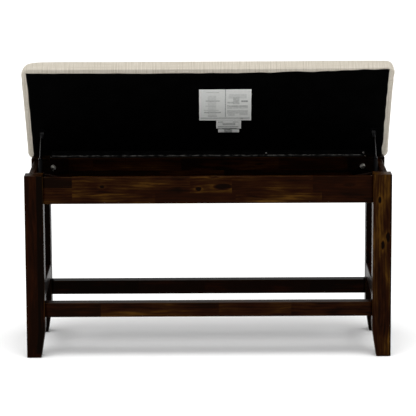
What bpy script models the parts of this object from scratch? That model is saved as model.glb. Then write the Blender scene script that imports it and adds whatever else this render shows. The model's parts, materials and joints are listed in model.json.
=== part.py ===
"""Storage bench: a counter-height wooden frame with a shallow storage box under a hinged, upholstered
lid that two gas stays hold open. Metres, +Z up, front towards -Y, modelled with the lid open."""

import math

import bmesh
import bpy
from mathutils import Matrix, Vector

# ---------------------------------------------------------------- driving dimensions
GAP = 0.0003                    # between pieces that touch

FRAME_WIDTH = 1.118             # over the legs, along X
FRAME_DEPTH = 0.382             # over the legs, along Y
LEG_TOP = 0.5675
LEG_WIDTH = 0.057               # along X
LEG_DEPTH = 0.060               # along Y
LEG_EASING = 0.0020
TAPER_HEIGHT = 0.088            # from the foot up to where the leg is full size
TAPER_INSET = 0.013             # what the taper takes off each inner face
GLIDE_HEIGHT = 0.0040
GLIDE_RADIUS = 0.0110

APRON_TOP = 0.5631
APRON_HEIGHT = 0.083
APRON_THICKNESS = 0.019
APRON_SETBACK = 0.005           # front and rear aprons, behind the legs' outer faces
SIDE_APRON_SETBACK = 0.009
APRON_SHOULDER = 0.005          # around each apron tenon
APRON_TENON = 0.018
WOOD_EASING = 0.0015

STRETCHER_HEIGHT = 0.044
STRETCHER_DEPTH = 0.041
STRETCHER_TOP = 0.170           # front and rear stretchers
SIDE_STRETCHER_TOP = 0.2255
SIDE_STRETCHER_INSET = 0.0005   # its inner face, behind the legs' inner faces
STRETCHER_SHOULDER = 0.010
STRETCHER_TENON = 0.020

PANEL_THICKNESS = 0.006
CLEAT_HEIGHT = 0.014
CLEAT_WIDTH = 0.016
CLEAT_END_GAP = 0.002

BLOCK_HEIGHT = 0.042            # corner blocks
BLOCK_THICKNESS = 0.014
BLOCK_DROP = 0.001              # block top below the apron top
BLOCK_LEG_GAP = 0.0023          # left open, so that the bolt draws the leg in
BOLT_RADIUS = 0.004
BOLT_IN_LEG = 0.022
BOLT_PROUD = 0.003
NUT_ACROSS_FLATS = 0.013
NUT_HEIGHT = 0.0065
WASHER_RADIUS = 0.009
WASHER_THICKNESS = 0.0016

HINGE_END_GAP = 0.006           # hinge's end to the leg
HINGE_KNUCKLES = 31
KNUCKLE_RADIUS = 0.0023
KNUCKLE_END_GAP = 0.0004
LEAF_THICKNESS = 0.0008
LEAF_WIDTH = 0.021
HINGE_INSET = 0.001             # axis in front of the legs' back faces
OPEN_ANGLE = math.radians(50.0)

LID_FRONT_OVERHANG = 0.024      # cover beyond the legs' front faces, lid closed
LID_REAR_OVERHANG = 0.019
LID_SIDE_OVERHANG = 0.018
LID_CORNER_RADIUS = 0.030
DUST_COVER_THICKNESS = 0.0005
DUST_COVER_INSET = 0.0217       # from the cover's outer edge
COVER_THICKNESS = 0.0012
COVER_TUCK = 0.045              # how far the cover runs in under the board
BOARD_THICKNESS = 0.012
FOAM_THICKNESS = 0.0325
FOAM_EDGE_RADIUS = 0.016
LABEL_WIDTH = 0.162
LABEL_LENGTH = 0.144
LABEL_THICKNESS = 0.0004
LABEL_X = 0.0545                # middle of the label, right of the bench's middle
LABEL_REACH = 0.239             # hinge axis to the middle of the label, along the lid
TAG_WIDTH = 0.078
TAG_LENGTH = 0.038
TAG_X = 0.0655
TAG_GAP = 0.001

STAY_LID_DROP = 0.012           # lid pivot below the lid's underside
STAY_FOOT_GAP = 0.00925         # foot bracket's plate to the front corner block
STAY_FOOT_DROP = 0.051          # frame pivot below the apron top
STAY_TUBE_RADIUS = 0.0062
STAY_ROD_RADIUS = 0.0040
STAY_ROD_CLEARANCE = 0.0004
STAY_COLLAR_LENGTH = 0.006
STAY_COLLAR_WALL = 0.0011
STAY_CLOSED_NOSE = 0.032        # lid pivot to the collar, lid closed
STAY_ROD_INSIDE = 0.010         # rod left in the tube, lid open
STAY_BORE_FLOOR = 0.013         # frame pivot to the bottom of the bore
STAY_FLOOR_ROOM = 0.003         # rod's end to the bottom of the bore, lid closed
STAY_CLEARANCE = 0.0005         # tube to its bracket, and lid bracket to the side apron
EYE_RADIUS = 0.0065
EYE_WIDTH = 0.010
SOCKET_LENGTH = 0.022
SOCKET_WALL = 0.0012
SOCKET_DRAFT = 0.9
PIVOT_RADIUS = 0.0030
PIVOT_CLEARANCE = 0.0003
PIVOT_HEAD_RADIUS = 0.0050
PIVOT_HEAD_HEIGHT = 0.0012
BRACKET_THICKNESS = 0.0020
BRACKET_HALF_WIDTH = 0.0070
BRACKET_FLANGE = 0.018          # lid bracket's flange under the lid, along X
FOOT_PLATE_HALF = 0.010

ROUND_STEPS = 28
CORNER_STEPS = 7

# ---------------------------------------------------------------- places worked out from them
HALF_WIDTH = FRAME_WIDTH / 2
HALF_DEPTH = FRAME_DEPTH / 2
LEG_BOTTOM = GLIDE_HEIGHT + GAP
LEG_INNER_X = HALF_WIDTH - LEG_WIDTH
LEG_INNER_Y = HALF_DEPTH - LEG_DEPTH
APRON_MIDDLE_Z = APRON_TOP - APRON_HEIGHT / 2
APRON_Y = HALF_DEPTH - APRON_SETBACK - APRON_THICKNESS / 2
APRON_X = HALF_WIDTH - SIDE_APRON_SETBACK - APRON_THICKNESS / 2
BOX_HALF_WIDTH = APRON_X - APRON_THICKNESS / 2
BOX_HALF_DEPTH = APRON_Y - APRON_THICKNESS / 2
STAY_FOOT_SIDE = GAP + BRACKET_THICKNESS + STAY_TUBE_RADIUS
STAY_LID_SIDE = EYE_WIDTH / 2 + GAP + PIVOT_HEAD_HEIGHT + BRACKET_THICKNESS
STAY_X = BOX_HALF_WIDTH - STAY_CLEARANCE - max(STAY_FOOT_SIDE, STAY_LID_SIDE)
STAY_COLLAR_RADIUS = STAY_ROD_RADIUS + STAY_ROD_CLEARANCE + STAY_COLLAR_WALL
SOCKET_RADIUS = STAY_ROD_RADIUS + SOCKET_WALL
STRETCHER_Y = HALF_DEPTH - LEG_DEPTH / 2
SIDE_STRETCHER_X = LEG_INNER_X + SIDE_STRETCHER_INSET + STRETCHER_DEPTH / 2
CLEAT_TOP = APRON_TOP - APRON_HEIGHT + CLEAT_HEIGHT
PANEL_BOTTOM = CLEAT_TOP + GAP
BLOCK_FACE_SUM = LEG_INNER_X + LEG_INNER_Y - math.sqrt(2) * (BLOCK_THICKNESS + BLOCK_LEG_GAP)
BLOCK_MIDDLE_Z = APRON_TOP - BLOCK_DROP - BLOCK_HEIGHT / 2
HINGE_Y = HALF_DEPTH - HINGE_INSET
HINGE_Z = APRON_TOP + GAP + KNUCKLE_RADIUS
HINGE_LENGTH = 2 * (LEG_INNER_X - HINGE_END_GAP)
HINGE_PIN_RADIUS = KNUCKLE_RADIUS - LEAF_THICKNESS - GAP

# Heights in the lid are counted from the hinge axis, with the lid closed.
UNDERSIDE = KNUCKLE_RADIUS + GAP
TUCK_BOTTOM = UNDERSIDE + DUST_COVER_THICKNESS + GAP
BOARD_BOTTOM = TUCK_BOTTOM + COVER_THICKNESS + GAP
FOAM_BOTTOM = BOARD_BOTTOM + BOARD_THICKNESS + GAP
COVER_TOP = FOAM_BOTTOM + FOAM_THICKNESS + GAP + COVER_THICKNESS
LID_FRONT = -HALF_DEPTH - LID_FRONT_OVERHANG - HINGE_Y
LID_REAR = HALF_DEPTH + LID_REAR_OVERHANG - HINGE_Y
LID_HALF_WIDTH = HALF_WIDTH + LID_SIDE_OVERHANG
BLOCK_FACE_END = BLOCK_FACE_SUM - (BOX_HALF_WIDTH - GAP)
FOOT_PIVOT = Vector((0, STAY_FOOT_GAP + FOOT_PLATE_HALF - BLOCK_FACE_END, APRON_TOP - STAY_FOOT_DROP))

# The origin is on the floor, in the middle of what the bench covers with its lid open.
COVER_EDGE_RADIUS = FOAM_EDGE_RADIUS + COVER_THICKNESS
REAR_REACH = (HINGE_Y + (LID_REAR - COVER_EDGE_RADIUS) * math.cos(OPEN_ANGLE)
              + (COVER_TOP - COVER_EDGE_RADIUS) * math.sin(OPEN_ANGLE) + COVER_EDGE_RADIUS)
ORIGIN_Y = (REAR_REACH - HALF_DEPTH) / 2


# ---------------------------------------------------------------- materials
def material(name, colour, roughness, metallic=0.0):
    surface = bpy.data.materials.get(name) or bpy.data.materials.new(name)
    surface.use_nodes = True
    shader = surface.node_tree.nodes["Principled BSDF"]
    shader.inputs["Base Color"].default_value = (*colour, 1.0)
    shader.inputs["Roughness"].default_value = roughness
    shader.inputs["Metallic"].default_value = metallic
    return surface


def lacquered_acacia():
    return material("lacquered_acacia", (0.020, 0.008, 0.003), 0.30)


def stained_plywood():
    return material("stained_plywood", (0.030, 0.014, 0.007), 0.60)


def raw_plywood():
    return material("raw_plywood", (0.45, 0.31, 0.18), 0.70)


def zinc_steel():
    return material("zinc_steel", (0.62, 0.62, 0.60), 0.35, 1.0)


def nitrided_steel():
    return material("nitrided_steel", (0.060, 0.060, 0.062), 0.20, 1.0)


def black_enamel():
    return material("black_enamel", (0.012, 0.012, 0.013), 0.40)


def black_nylon():
    return material("black_nylon", (0.015, 0.015, 0.016), 0.50)


def oat_linen():
    return material("oat_linen", (0.66, 0.62, 0.55), 0.90)


def black_cambric():
    return material("black_cambric", (0.004, 0.004, 0.004), 0.95)


def polyurethane_foam():
    return material("polyurethane_foam", (0.80, 0.76, 0.60), 0.95)


def white_label():
    return material("white_label", (0.40, 0.40, 0.40), 0.60)


# ---------------------------------------------------------------- mesh helpers
def make_object(name, bm, surface, parent, location=(0, 0, 0), rotation=(0, 0, 0)):
    """Turns a bmesh into a named object, placed in its parent's frame."""
    bmesh.ops.recalc_face_normals(bm, faces=bm.faces)
    mesh = bpy.data.meshes.new(name)
    bm.to_mesh(mesh)
    bm.free()
    if surface:
        mesh.materials.append(surface)
    piece = bpy.data.objects.new(name, mesh)
    bpy.context.collection.objects.link(piece)
    piece.parent = parent
    piece.location = location
    piece.rotation_euler = rotation
    return piece


def shade_round(piece):
    piece.data.shade_smooth()
    piece.data.set_sharp_from_angle(angle=math.radians(40))


def make_empty(name, location, rotation=(0, 0, 0), parent=None):
    empty = bpy.data.objects.new(name, None)
    empty.location = location
    empty.rotation_euler = rotation
    empty.parent = parent
    bpy.context.collection.objects.link(empty)
    return empty


def add_box(bm, low, high):
    """Adds a closed box between two corners and returns its vertices."""
    size = Vector(high) - Vector(low)
    middle = (Vector(high) + Vector(low)) / 2
    matrix = Matrix.Translation(middle) @ Matrix.Diagonal((*size, 1.0))
    return bmesh.ops.create_cube(bm, size=1.0, matrix=matrix)["verts"]


def add_cylinder(bm, start, end, radius, end_radius=None, steps=ROUND_STEPS):
    """Adds a closed cylinder or cone between two points."""
    run = Vector(end) - Vector(start)
    turn = Vector((0, 0, 1)).rotation_difference(run.normalized()).to_matrix().to_4x4()
    matrix = Matrix.Translation((Vector(start) + Vector(end)) / 2) @ turn
    bmesh.ops.create_cone(bm, cap_ends=True, segments=steps, radius1=radius,
                          radius2=radius if end_radius is None else end_radius,
                          depth=run.length, matrix=matrix)


def extrude_outline(outline, bottom, top):
    """Makes a bmesh prism from a plan outline."""
    bm = bmesh.new()
    face = bm.faces.new([bm.verts.new((x, y, bottom)) for x, y in outline])
    lifted = bmesh.ops.extrude_face_region(bm, geom=[face])["geom"]
    verts = [item for item in lifted if isinstance(item, bmesh.types.BMVert)]
    bmesh.ops.translate(bm, verts=verts, vec=(0, 0, top - bottom))
    return bm


def rounded_rectangle(low_x, high_x, low_y, high_y, radius):
    """Returns a plan outline with round corners, counter-clockwise."""
    centres = ((high_x - radius, high_y - radius), (low_x + radius, high_y - radius),
               (low_x + radius, low_y + radius), (high_x - radius, low_y + radius))
    outline = []
    for corner, (x, y) in enumerate(centres):
        for step in range(CORNER_STEPS + 1):
            angle = math.pi / 2 * (corner + step / CORNER_STEPS)
            outline.append((x + radius * math.cos(angle), y + radius * math.sin(angle)))
    return outline


def combine(piece, bm, operation):
    """Joins a shape to a piece, or cuts it from the piece, in the piece's own frame."""
    tool = make_object(f"{piece.name}_{operation.lower()}", bm, None, piece)
    tool.hide_render = True
    tool.display_type = "WIRE"
    modifier = piece.modifiers.new(operation.title(), "BOOLEAN")
    modifier.operation = operation
    modifier.solver = "EXACT"
    modifier.object = tool


# ---------------------------------------------------------------- wooden frame
def tenoned_bar(name, length, height, depth, shoulder, tenon, parent, location, turned=False):
    """Makes a bar along X with a tenon on each end; turned lays it along Y."""
    bm = bmesh.new()
    add_box(bm, (-length / 2, -depth / 2, -height / 2), (length / 2, depth / 2, height / 2))
    for end in (-1, 1):
        face = max(bm.faces, key=lambda f: f.calc_center_median().x * end)
        bmesh.ops.inset_individual(bm, faces=[face], thickness=shoulder, use_even_offset=True)
        lifted = bmesh.ops.extrude_discrete_faces(bm, faces=[face])["faces"]
        bmesh.ops.translate(bm, verts=lifted[0].verts, vec=(end * tenon, 0, 0))
    corners = [edge for edge in bm.edges if edge.calc_length() > length - GAP]
    bmesh.ops.bevel(bm, geom=corners, offset=WOOD_EASING, segments=2, profile=0.5, affect="EDGES")
    angle = math.pi / 2 if turned else 0.0
    return make_object(name, bm, lacquered_acacia(), parent, location, (0, 0, angle))


def make_aprons(bench):
    """Makes the four boards that close the storage box, tenoned into the legs."""
    for side, place in (("front", -APRON_Y), ("rear", APRON_Y)):
        tenoned_bar(f"apron_{side}", 2 * (LEG_INNER_X - GAP), APRON_HEIGHT, APRON_THICKNESS,
                    APRON_SHOULDER, APRON_TENON, bench, (0, place, APRON_MIDDLE_Z))
    for side, place in (("left", -APRON_X), ("right", APRON_X)):
        tenoned_bar(f"apron_{side}", 2 * (LEG_INNER_Y - GAP), APRON_HEIGHT, APRON_THICKNESS,
                    APRON_SHOULDER, APRON_TENON, bench, (place, 0, APRON_MIDDLE_Z), turned=True)


def make_stretchers(bench):
    """Makes the foot rails between the legs; the side rails stand one rail's height above."""
    low = STRETCHER_TOP - STRETCHER_HEIGHT / 2
    high = SIDE_STRETCHER_TOP - STRETCHER_HEIGHT / 2
    for side, place in (("front", -STRETCHER_Y), ("rear", STRETCHER_Y)):
        tenoned_bar(f"stretcher_{side}", 2 * (LEG_INNER_X - GAP), STRETCHER_HEIGHT, STRETCHER_DEPTH,
                    STRETCHER_SHOULDER, STRETCHER_TENON, bench, (0, place, low))
    for side, place in (("left", -SIDE_STRETCHER_X), ("right", SIDE_STRETCHER_X)):
        tenoned_bar(f"stretcher_{side}", 2 * (LEG_INNER_Y - GAP), STRETCHER_HEIGHT, STRETCHER_DEPTH,
                    STRETCHER_SHOULDER, STRETCHER_TENON, bench, (place, 0, high), turned=True)


def add_mortise(bm, axis, across, middle_z, height, depth, shoulder, tenon, inner_face):
    """Adds the pocket for one tenon; it opens through the leg's inner face."""
    half = (height / 2 - shoulder + GAP, depth / 2 - shoulder + GAP)
    span = (inner_face - WOOD_EASING - LEG_EASING, inner_face + tenon + GAP)
    if axis == 0:
        add_box(bm, (span[0], across - half[1], middle_z - half[0]),
                (span[1], across + half[1], middle_z + half[0]))
    else:
        add_box(bm, (across - half[1], span[0], middle_z - half[0]),
                (across + half[1], span[1], middle_z + half[0]))


def corner_point(distance, z):
    """Returns the point on a corner's diagonal, counted from the block's inner face to the leg."""
    step = distance / math.sqrt(2)
    run = (LEG_INNER_X - LEG_INNER_Y) / 2
    return Vector((BLOCK_FACE_SUM / 2 + run + step, BLOCK_FACE_SUM / 2 - run + step, z))


def make_leg(bench, name, across, along):
    """Makes one leg in the +X +Y corner's own frame and mirrors it to its place."""
    bm = bmesh.new()
    rings = ((LEG_BOTTOM, TAPER_INSET), (TAPER_HEIGHT, 0.0), (LEG_TOP, 0.0))
    loops = []
    for z, inset in rings:
        low_x = LEG_INNER_X + inset
        low_y = LEG_INNER_Y + inset
        corners = ((low_x, low_y), (HALF_WIDTH, low_y), (HALF_WIDTH, HALF_DEPTH), (low_x, HALF_DEPTH))
        loops.append([bm.verts.new((x, y, z)) for x, y in corners])
    for lower, upper in zip(loops, loops[1:]):
        for i in range(4):
            bm.faces.new((lower[i], lower[(i + 1) % 4], upper[(i + 1) % 4], upper[i]))
    bm.faces.new(list(reversed(loops[0])))
    bm.faces.new(loops[-1])
    outer = [edge for edge in bm.edges if abs(edge.verts[0].co.z - edge.verts[1].co.z) > LEG_WIDTH / 2
             or min(vert.co.z for vert in edge.verts) > LEG_TOP - GAP]
    bmesh.ops.bevel(bm, geom=outer, offset=LEG_EASING, segments=2, profile=0.5, affect="EDGES")

    pockets = bmesh.new()
    low = STRETCHER_TOP - STRETCHER_HEIGHT / 2
    high = SIDE_STRETCHER_TOP - STRETCHER_HEIGHT / 2
    add_mortise(pockets, 0, APRON_Y, APRON_MIDDLE_Z, APRON_HEIGHT, APRON_THICKNESS,
                APRON_SHOULDER, APRON_TENON, LEG_INNER_X)
    add_mortise(pockets, 1, APRON_X, APRON_MIDDLE_Z, APRON_HEIGHT, APRON_THICKNESS,
                APRON_SHOULDER, APRON_TENON, LEG_INNER_Y)
    add_mortise(pockets, 0, STRETCHER_Y, low, STRETCHER_HEIGHT, STRETCHER_DEPTH,
                STRETCHER_SHOULDER, STRETCHER_TENON, LEG_INNER_X)
    add_mortise(pockets, 1, SIDE_STRETCHER_X, high, STRETCHER_HEIGHT, STRETCHER_DEPTH,
                STRETCHER_SHOULDER, STRETCHER_TENON, LEG_INNER_Y)
    leg_corner = BLOCK_THICKNESS + BLOCK_LEG_GAP
    add_cylinder(pockets, corner_point(leg_corner - BLOCK_THICKNESS, BLOCK_MIDDLE_Z),
                 corner_point(leg_corner + BOLT_IN_LEG + GAP, BLOCK_MIDDLE_Z), BOLT_RADIUS + GAP)

    mirror = Matrix.Diagonal((across, along, 1, 1))
    for shape in (bm, pockets):
        bmesh.ops.transform(shape, matrix=mirror, verts=shape.verts)
    leg = make_object(name, bm, lacquered_acacia(), bench)
    combine(leg, pockets, "DIFFERENCE")


def make_glide(bench, name, across, along):
    """Makes the nylon disc under one foot, in the middle of what the taper leaves."""
    x = across * (HALF_WIDTH + LEG_INNER_X + TAPER_INSET) / 2
    y = along * (HALF_DEPTH + LEG_INNER_Y + TAPER_INSET) / 2
    bm = bmesh.new()
    add_cylinder(bm, (0, 0, GLIDE_HEIGHT / 2), (0, 0, GLIDE_HEIGHT), GLIDE_RADIUS)
    rim = [face for face in bm.faces if face.normal.z < -0.5]
    lifted = bmesh.ops.extrude_discrete_faces(bm, faces=rim)["faces"]
    bmesh.ops.translate(bm, verts=lifted[0].verts, vec=(0, 0, -GLIDE_HEIGHT / 2))
    shrink = 1 - GLIDE_HEIGHT / 4 / GLIDE_RADIUS
    bmesh.ops.scale(bm, verts=lifted[0].verts, vec=(shrink, shrink, 1))
    shade_round(make_object(name, bm, black_nylon(), bench, (x, y, 0)))


# ---------------------------------------------------------------- storage box
def make_box_floor(bench):
    """Makes the plywood floor, notched around the legs, and the four cleats that carry it."""
    x = BOX_HALF_WIDTH - GAP
    y = BOX_HALF_DEPTH - GAP
    notch_x = LEG_INNER_X - GAP
    notch_y = LEG_INNER_Y - GAP
    outline = ((notch_x, y), (-notch_x, y), (-notch_x, notch_y), (-x, notch_y), (-x, -notch_y),
               (-notch_x, -notch_y), (-notch_x, -y), (notch_x, -y), (notch_x, -notch_y),
               (x, -notch_y), (x, notch_y), (notch_x, notch_y))
    bm = extrude_outline(outline, PANEL_BOTTOM, PANEL_BOTTOM + PANEL_THICKNESS)
    make_object("box_floor", bm, stained_plywood(), bench)

    half_run = LEG_INNER_X - CLEAT_END_GAP
    half_turn = LEG_INNER_Y - CLEAT_END_GAP
    across = (BOX_HALF_DEPTH - GAP - CLEAT_WIDTH, BOX_HALF_DEPTH - GAP)
    along = (BOX_HALF_WIDTH - GAP - CLEAT_WIDTH, BOX_HALF_WIDTH - GAP)
    spans = {
        "cleat_front": ((-half_run, -across[1]), (half_run, -across[0])),
        "cleat_rear": ((-half_run, across[0]), (half_run, across[1])),
        "cleat_left": ((-along[1], -half_turn), (-along[0], half_turn)),
        "cleat_right": ((along[0], -half_turn), (along[1], half_turn)),
    }
    for name, (low, high) in spans.items():
        bm = bmesh.new()
        add_box(bm, (*low, CLEAT_TOP - CLEAT_HEIGHT), (*high, CLEAT_TOP))
        make_object(name, bm, stained_plywood(), bench)


def make_corner_block(bench, corner, across, along):
    """Makes the diagonal block in one corner, with its hanger bolt, washer and nut."""
    face_x = BLOCK_FACE_SUM - (BOX_HALF_DEPTH - GAP)
    back = math.sqrt(2) * BLOCK_THICKNESS
    outline = ((face_x, BOX_HALF_DEPTH - GAP), (BOX_HALF_WIDTH - GAP, BLOCK_FACE_END),
               (BOX_HALF_WIDTH - GAP, BLOCK_FACE_END + back), (face_x + back, BOX_HALF_DEPTH - GAP))
    block = extrude_outline(outline, BLOCK_MIDDLE_Z - BLOCK_HEIGHT / 2, BLOCK_MIDDLE_Z + BLOCK_HEIGHT / 2)
    hole = bmesh.new()
    add_cylinder(hole, corner_point(-BLOCK_THICKNESS, BLOCK_MIDDLE_Z),
                 corner_point(2 * BLOCK_THICKNESS, BLOCK_MIDDLE_Z), BOLT_RADIUS + GAP)

    washer_start = -GAP - WASHER_THICKNESS
    nut_start = washer_start - GAP - NUT_HEIGHT
    washer = ring_along(corner_point(washer_start, BLOCK_MIDDLE_Z), corner_point(-GAP, BLOCK_MIDDLE_Z),
                        WASHER_RADIUS, BOLT_RADIUS + GAP, ROUND_STEPS)
    nut = ring_along(corner_point(nut_start, BLOCK_MIDDLE_Z),
                     corner_point(nut_start + NUT_HEIGHT, BLOCK_MIDDLE_Z),
                     NUT_ACROSS_FLATS / math.sqrt(3), BOLT_RADIUS + GAP, 6)
    bolt = bmesh.new()
    leg_corner = BLOCK_THICKNESS + BLOCK_LEG_GAP
    add_cylinder(bolt, corner_point(nut_start - BOLT_PROUD, BLOCK_MIDDLE_Z),
                 corner_point(leg_corner + BOLT_IN_LEG, BLOCK_MIDDLE_Z), BOLT_RADIUS)

    mirror = Matrix.Diagonal((across, along, 1, 1))
    for shape in (block, hole, washer, nut, bolt):
        bmesh.ops.transform(shape, matrix=mirror, verts=shape.verts)
    combine(make_object(f"corner_block_{corner}", block, stained_plywood(), bench), hole, "DIFFERENCE")
    shade_round(make_object(f"washer_{corner}", washer, zinc_steel(), bench))
    make_object(f"nut_{corner}", nut, zinc_steel(), bench)
    shade_round(make_object(f"hanger_bolt_{corner}", bolt, zinc_steel(), bench))


def ring_along(start, end, radius, hole, sides):
    """Makes a round or many-sided ring between two points, with a round-stepped hole."""
    bm = bmesh.new()
    run = (end - start).normalized()
    turn = Vector((0, 0, 1)).rotation_difference(run).to_matrix().to_4x4()
    steps = ROUND_STEPS if sides == ROUND_STEPS else 4 * sides
    loops = []
    for size, base in ((radius, start), (radius, end), (hole, end), (hole, start)):
        place = Matrix.Translation(base) @ turn
        loop = []
        for step in range(steps):
            angle = math.tau * step / steps
            reach = size
            if size == radius and sides != steps:
                half_side = math.pi / sides
                reach = size * math.cos(half_side) / math.cos(angle % (2 * half_side) - half_side)
            loop.append(bm.verts.new(place @ Vector((reach * math.cos(angle), reach * math.sin(angle), 0))))
        loops.append(loop)
    for i in range(4):
        lower = loops[i]
        upper = loops[(i + 1) % 4]
        for step in range(steps):
            after = (step + 1) % steps
            bm.faces.new((lower[step], lower[after], upper[after], upper[step]))
    return bm


# ---------------------------------------------------------------- piano hinge
def hinge_leaf(name, parent, location, upper, keeps_odd, surface):
    """Makes one leaf: a strip whose back edge curls around the pin, notched for the other leaf."""
    inner = KNUCKLE_RADIUS - LEAF_THICKNESS
    side = 1 if upper else -1
    steps = 10
    sweep = math.radians(300)
    profile = [(-LEAF_WIDTH, side * KNUCKLE_RADIUS)]
    turns = [step / steps * sweep for step in range(steps + 1)]
    profile += [(KNUCKLE_RADIUS * math.sin(turn), side * KNUCKLE_RADIUS * math.cos(turn)) for turn in turns]
    profile += [(inner * math.sin(turn), side * inner * math.cos(turn)) for turn in reversed(turns)]
    profile.append((-LEAF_WIDTH, side * inner))
    bm = bmesh.new()
    face = bm.faces.new([bm.verts.new((-HINGE_LENGTH / 2, y, z)) for y, z in profile])
    lifted = bmesh.ops.extrude_face_region(bm, geom=[face])["geom"]
    verts = [item for item in lifted if isinstance(item, bmesh.types.BMVert)]
    bmesh.ops.translate(bm, verts=verts, vec=(HINGE_LENGTH, 0, 0))
    leaf = make_object(name, bm, surface, parent, location)

    notches = bmesh.new()
    pitch = HINGE_LENGTH / HINGE_KNUCKLES
    reach = KNUCKLE_RADIUS + KNUCKLE_END_GAP
    for knuckle in range(HINGE_KNUCKLES):
        if (knuckle % 2 == 1) != keeps_odd:
            start = -HINGE_LENGTH / 2 + knuckle * pitch - KNUCKLE_END_GAP / 2
            end = start + pitch + KNUCKLE_END_GAP
            add_box(notches, (start, -reach, -2 * reach), (end, 2 * reach, 2 * reach))
    combine(leaf, notches, "DIFFERENCE")


def make_hinge(bench, lid):
    """Makes the hinge: the fixed leaf on the rear apron, the lid leaf and the pin through both."""
    hinge_leaf("hinge_leaf_frame", bench, (0, HINGE_Y, HINGE_Z), False, False, black_enamel())
    hinge_leaf("hinge_leaf_lid", lid, (0, 0, 0), True, True, black_enamel())
    bm = bmesh.new()
    add_cylinder(bm, (-HINGE_LENGTH / 2, 0, 0), (HINGE_LENGTH / 2, 0, 0), HINGE_PIN_RADIUS, steps=16)
    shade_round(make_object("hinge_pin", bm, zinc_steel(), bench, (0, HINGE_Y, HINGE_Z)))


# ---------------------------------------------------------------- upholstered lid
def lid_outline(inset, radius=None):
    """Returns the lid's plan, drawn in by an inset, in the closed lid's frame."""
    if radius is None:
        radius = LID_CORNER_RADIUS - inset
    return rounded_rectangle(-LID_HALF_WIDTH + inset, LID_HALF_WIDTH - inset,
                             LID_FRONT + inset, LID_REAR - inset, radius)


def cushion_block(inset, bottom, top, edge_radius):
    """Makes a padded block: the lid's plan with its upper edge rounded."""
    bm = extrude_outline(lid_outline(inset), bottom, top)
    rim = [edge for edge in bm.edges if min(vert.co.z for vert in edge.verts) > top - GAP]
    bmesh.ops.bevel(bm, geom=rim, offset=edge_radius, segments=4, profile=0.5, affect="EDGES")
    return bm


def make_lid(lid):
    """Makes the board, the foam on it, the cover drawn around both, and the dust cover below."""
    inner = COVER_THICKNESS + GAP
    board = extrude_outline(lid_outline(inner), BOARD_BOTTOM, BOARD_BOTTOM + BOARD_THICKNESS)
    make_object("lid_board", board, raw_plywood(), lid)

    foam_top = FOAM_BOTTOM + FOAM_THICKNESS
    foam = cushion_block(inner, FOAM_BOTTOM, foam_top, FOAM_EDGE_RADIUS)
    shade_round(make_object("seat_foam", foam, polyurethane_foam(), lid))

    shell = cushion_block(0.0, TUCK_BOTTOM, COVER_TOP, COVER_EDGE_RADIUS)
    cover = make_object("seat_cover", shell, oat_linen(), lid)
    cavity = cushion_block(COVER_THICKNESS, TUCK_BOTTOM + COVER_THICKNESS, foam_top + GAP, FOAM_EDGE_RADIUS)
    combine(cover, cavity, "DIFFERENCE")
    opening = extrude_outline(lid_outline(COVER_TUCK, LID_CORNER_RADIUS / 2),
                              TUCK_BOTTOM - COVER_THICKNESS, BOARD_BOTTOM + BOARD_THICKNESS)
    combine(cover, opening, "DIFFERENCE")
    shade_round(cover)

    dust = extrude_outline(lid_outline(DUST_COVER_INSET), UNDERSIDE, UNDERSIDE + DUST_COVER_THICKNESS)
    make_object("dust_cover", dust, black_cambric(), lid)


def make_labels(lid):
    """Makes the sewn fibre label and the tag that hangs below it, flat on the dust cover."""
    top = UNDERSIDE - GAP
    bm = bmesh.new()
    add_box(bm, (LABEL_X - LABEL_WIDTH / 2, -LABEL_REACH - LABEL_LENGTH / 2, top - LABEL_THICKNESS),
            (LABEL_X + LABEL_WIDTH / 2, -LABEL_REACH + LABEL_LENGTH / 2, top))
    make_object("law_label", bm, white_label(), lid)
    tag_front = -LABEL_REACH + LABEL_LENGTH / 2 + TAG_GAP
    bm = bmesh.new()
    add_box(bm, (TAG_X - TAG_WIDTH / 2, tag_front, top - LABEL_THICKNESS),
            (TAG_X + TAG_WIDTH / 2, tag_front + TAG_LENGTH, top))
    make_object("label_tag", bm, white_label(), lid)


# ---------------------------------------------------------------- gas stays
def lid_point(point, closed=0.0):
    """Returns where a point of the closed lid lies, in the frame, after closing by a share."""
    turn = Matrix.Rotation(-OPEN_ANGLE * (1 - closed), 3, "X")
    return Vector((0, HINGE_Y, HINGE_Z)) + turn @ point


def stay_length(lid_pivot, closed):
    return (lid_point(lid_pivot, closed) - FOOT_PIVOT).length


def fit_lid_pivot():
    """Finds the lid pivot furthest from the hinge whose rod still fits in the tube with the lid closed."""
    fittings = STAY_CLOSED_NOSE + STAY_ROD_INSIDE + STAY_BORE_FLOOR + STAY_FLOOR_ROOM
    near = 0.0
    far = HINGE_Y - FOOT_PIVOT.y
    for _ in range(40):
        pivot = Vector((0, -(near + far) / 2, UNDERSIDE - STAY_LID_DROP))
        if stay_length(pivot, 0.0) + fittings > 2 * stay_length(pivot, 1.0):
            far = -pivot.y
        else:
            near = -pivot.y
    return pivot


LID_PIVOT = fit_lid_pivot()


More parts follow.
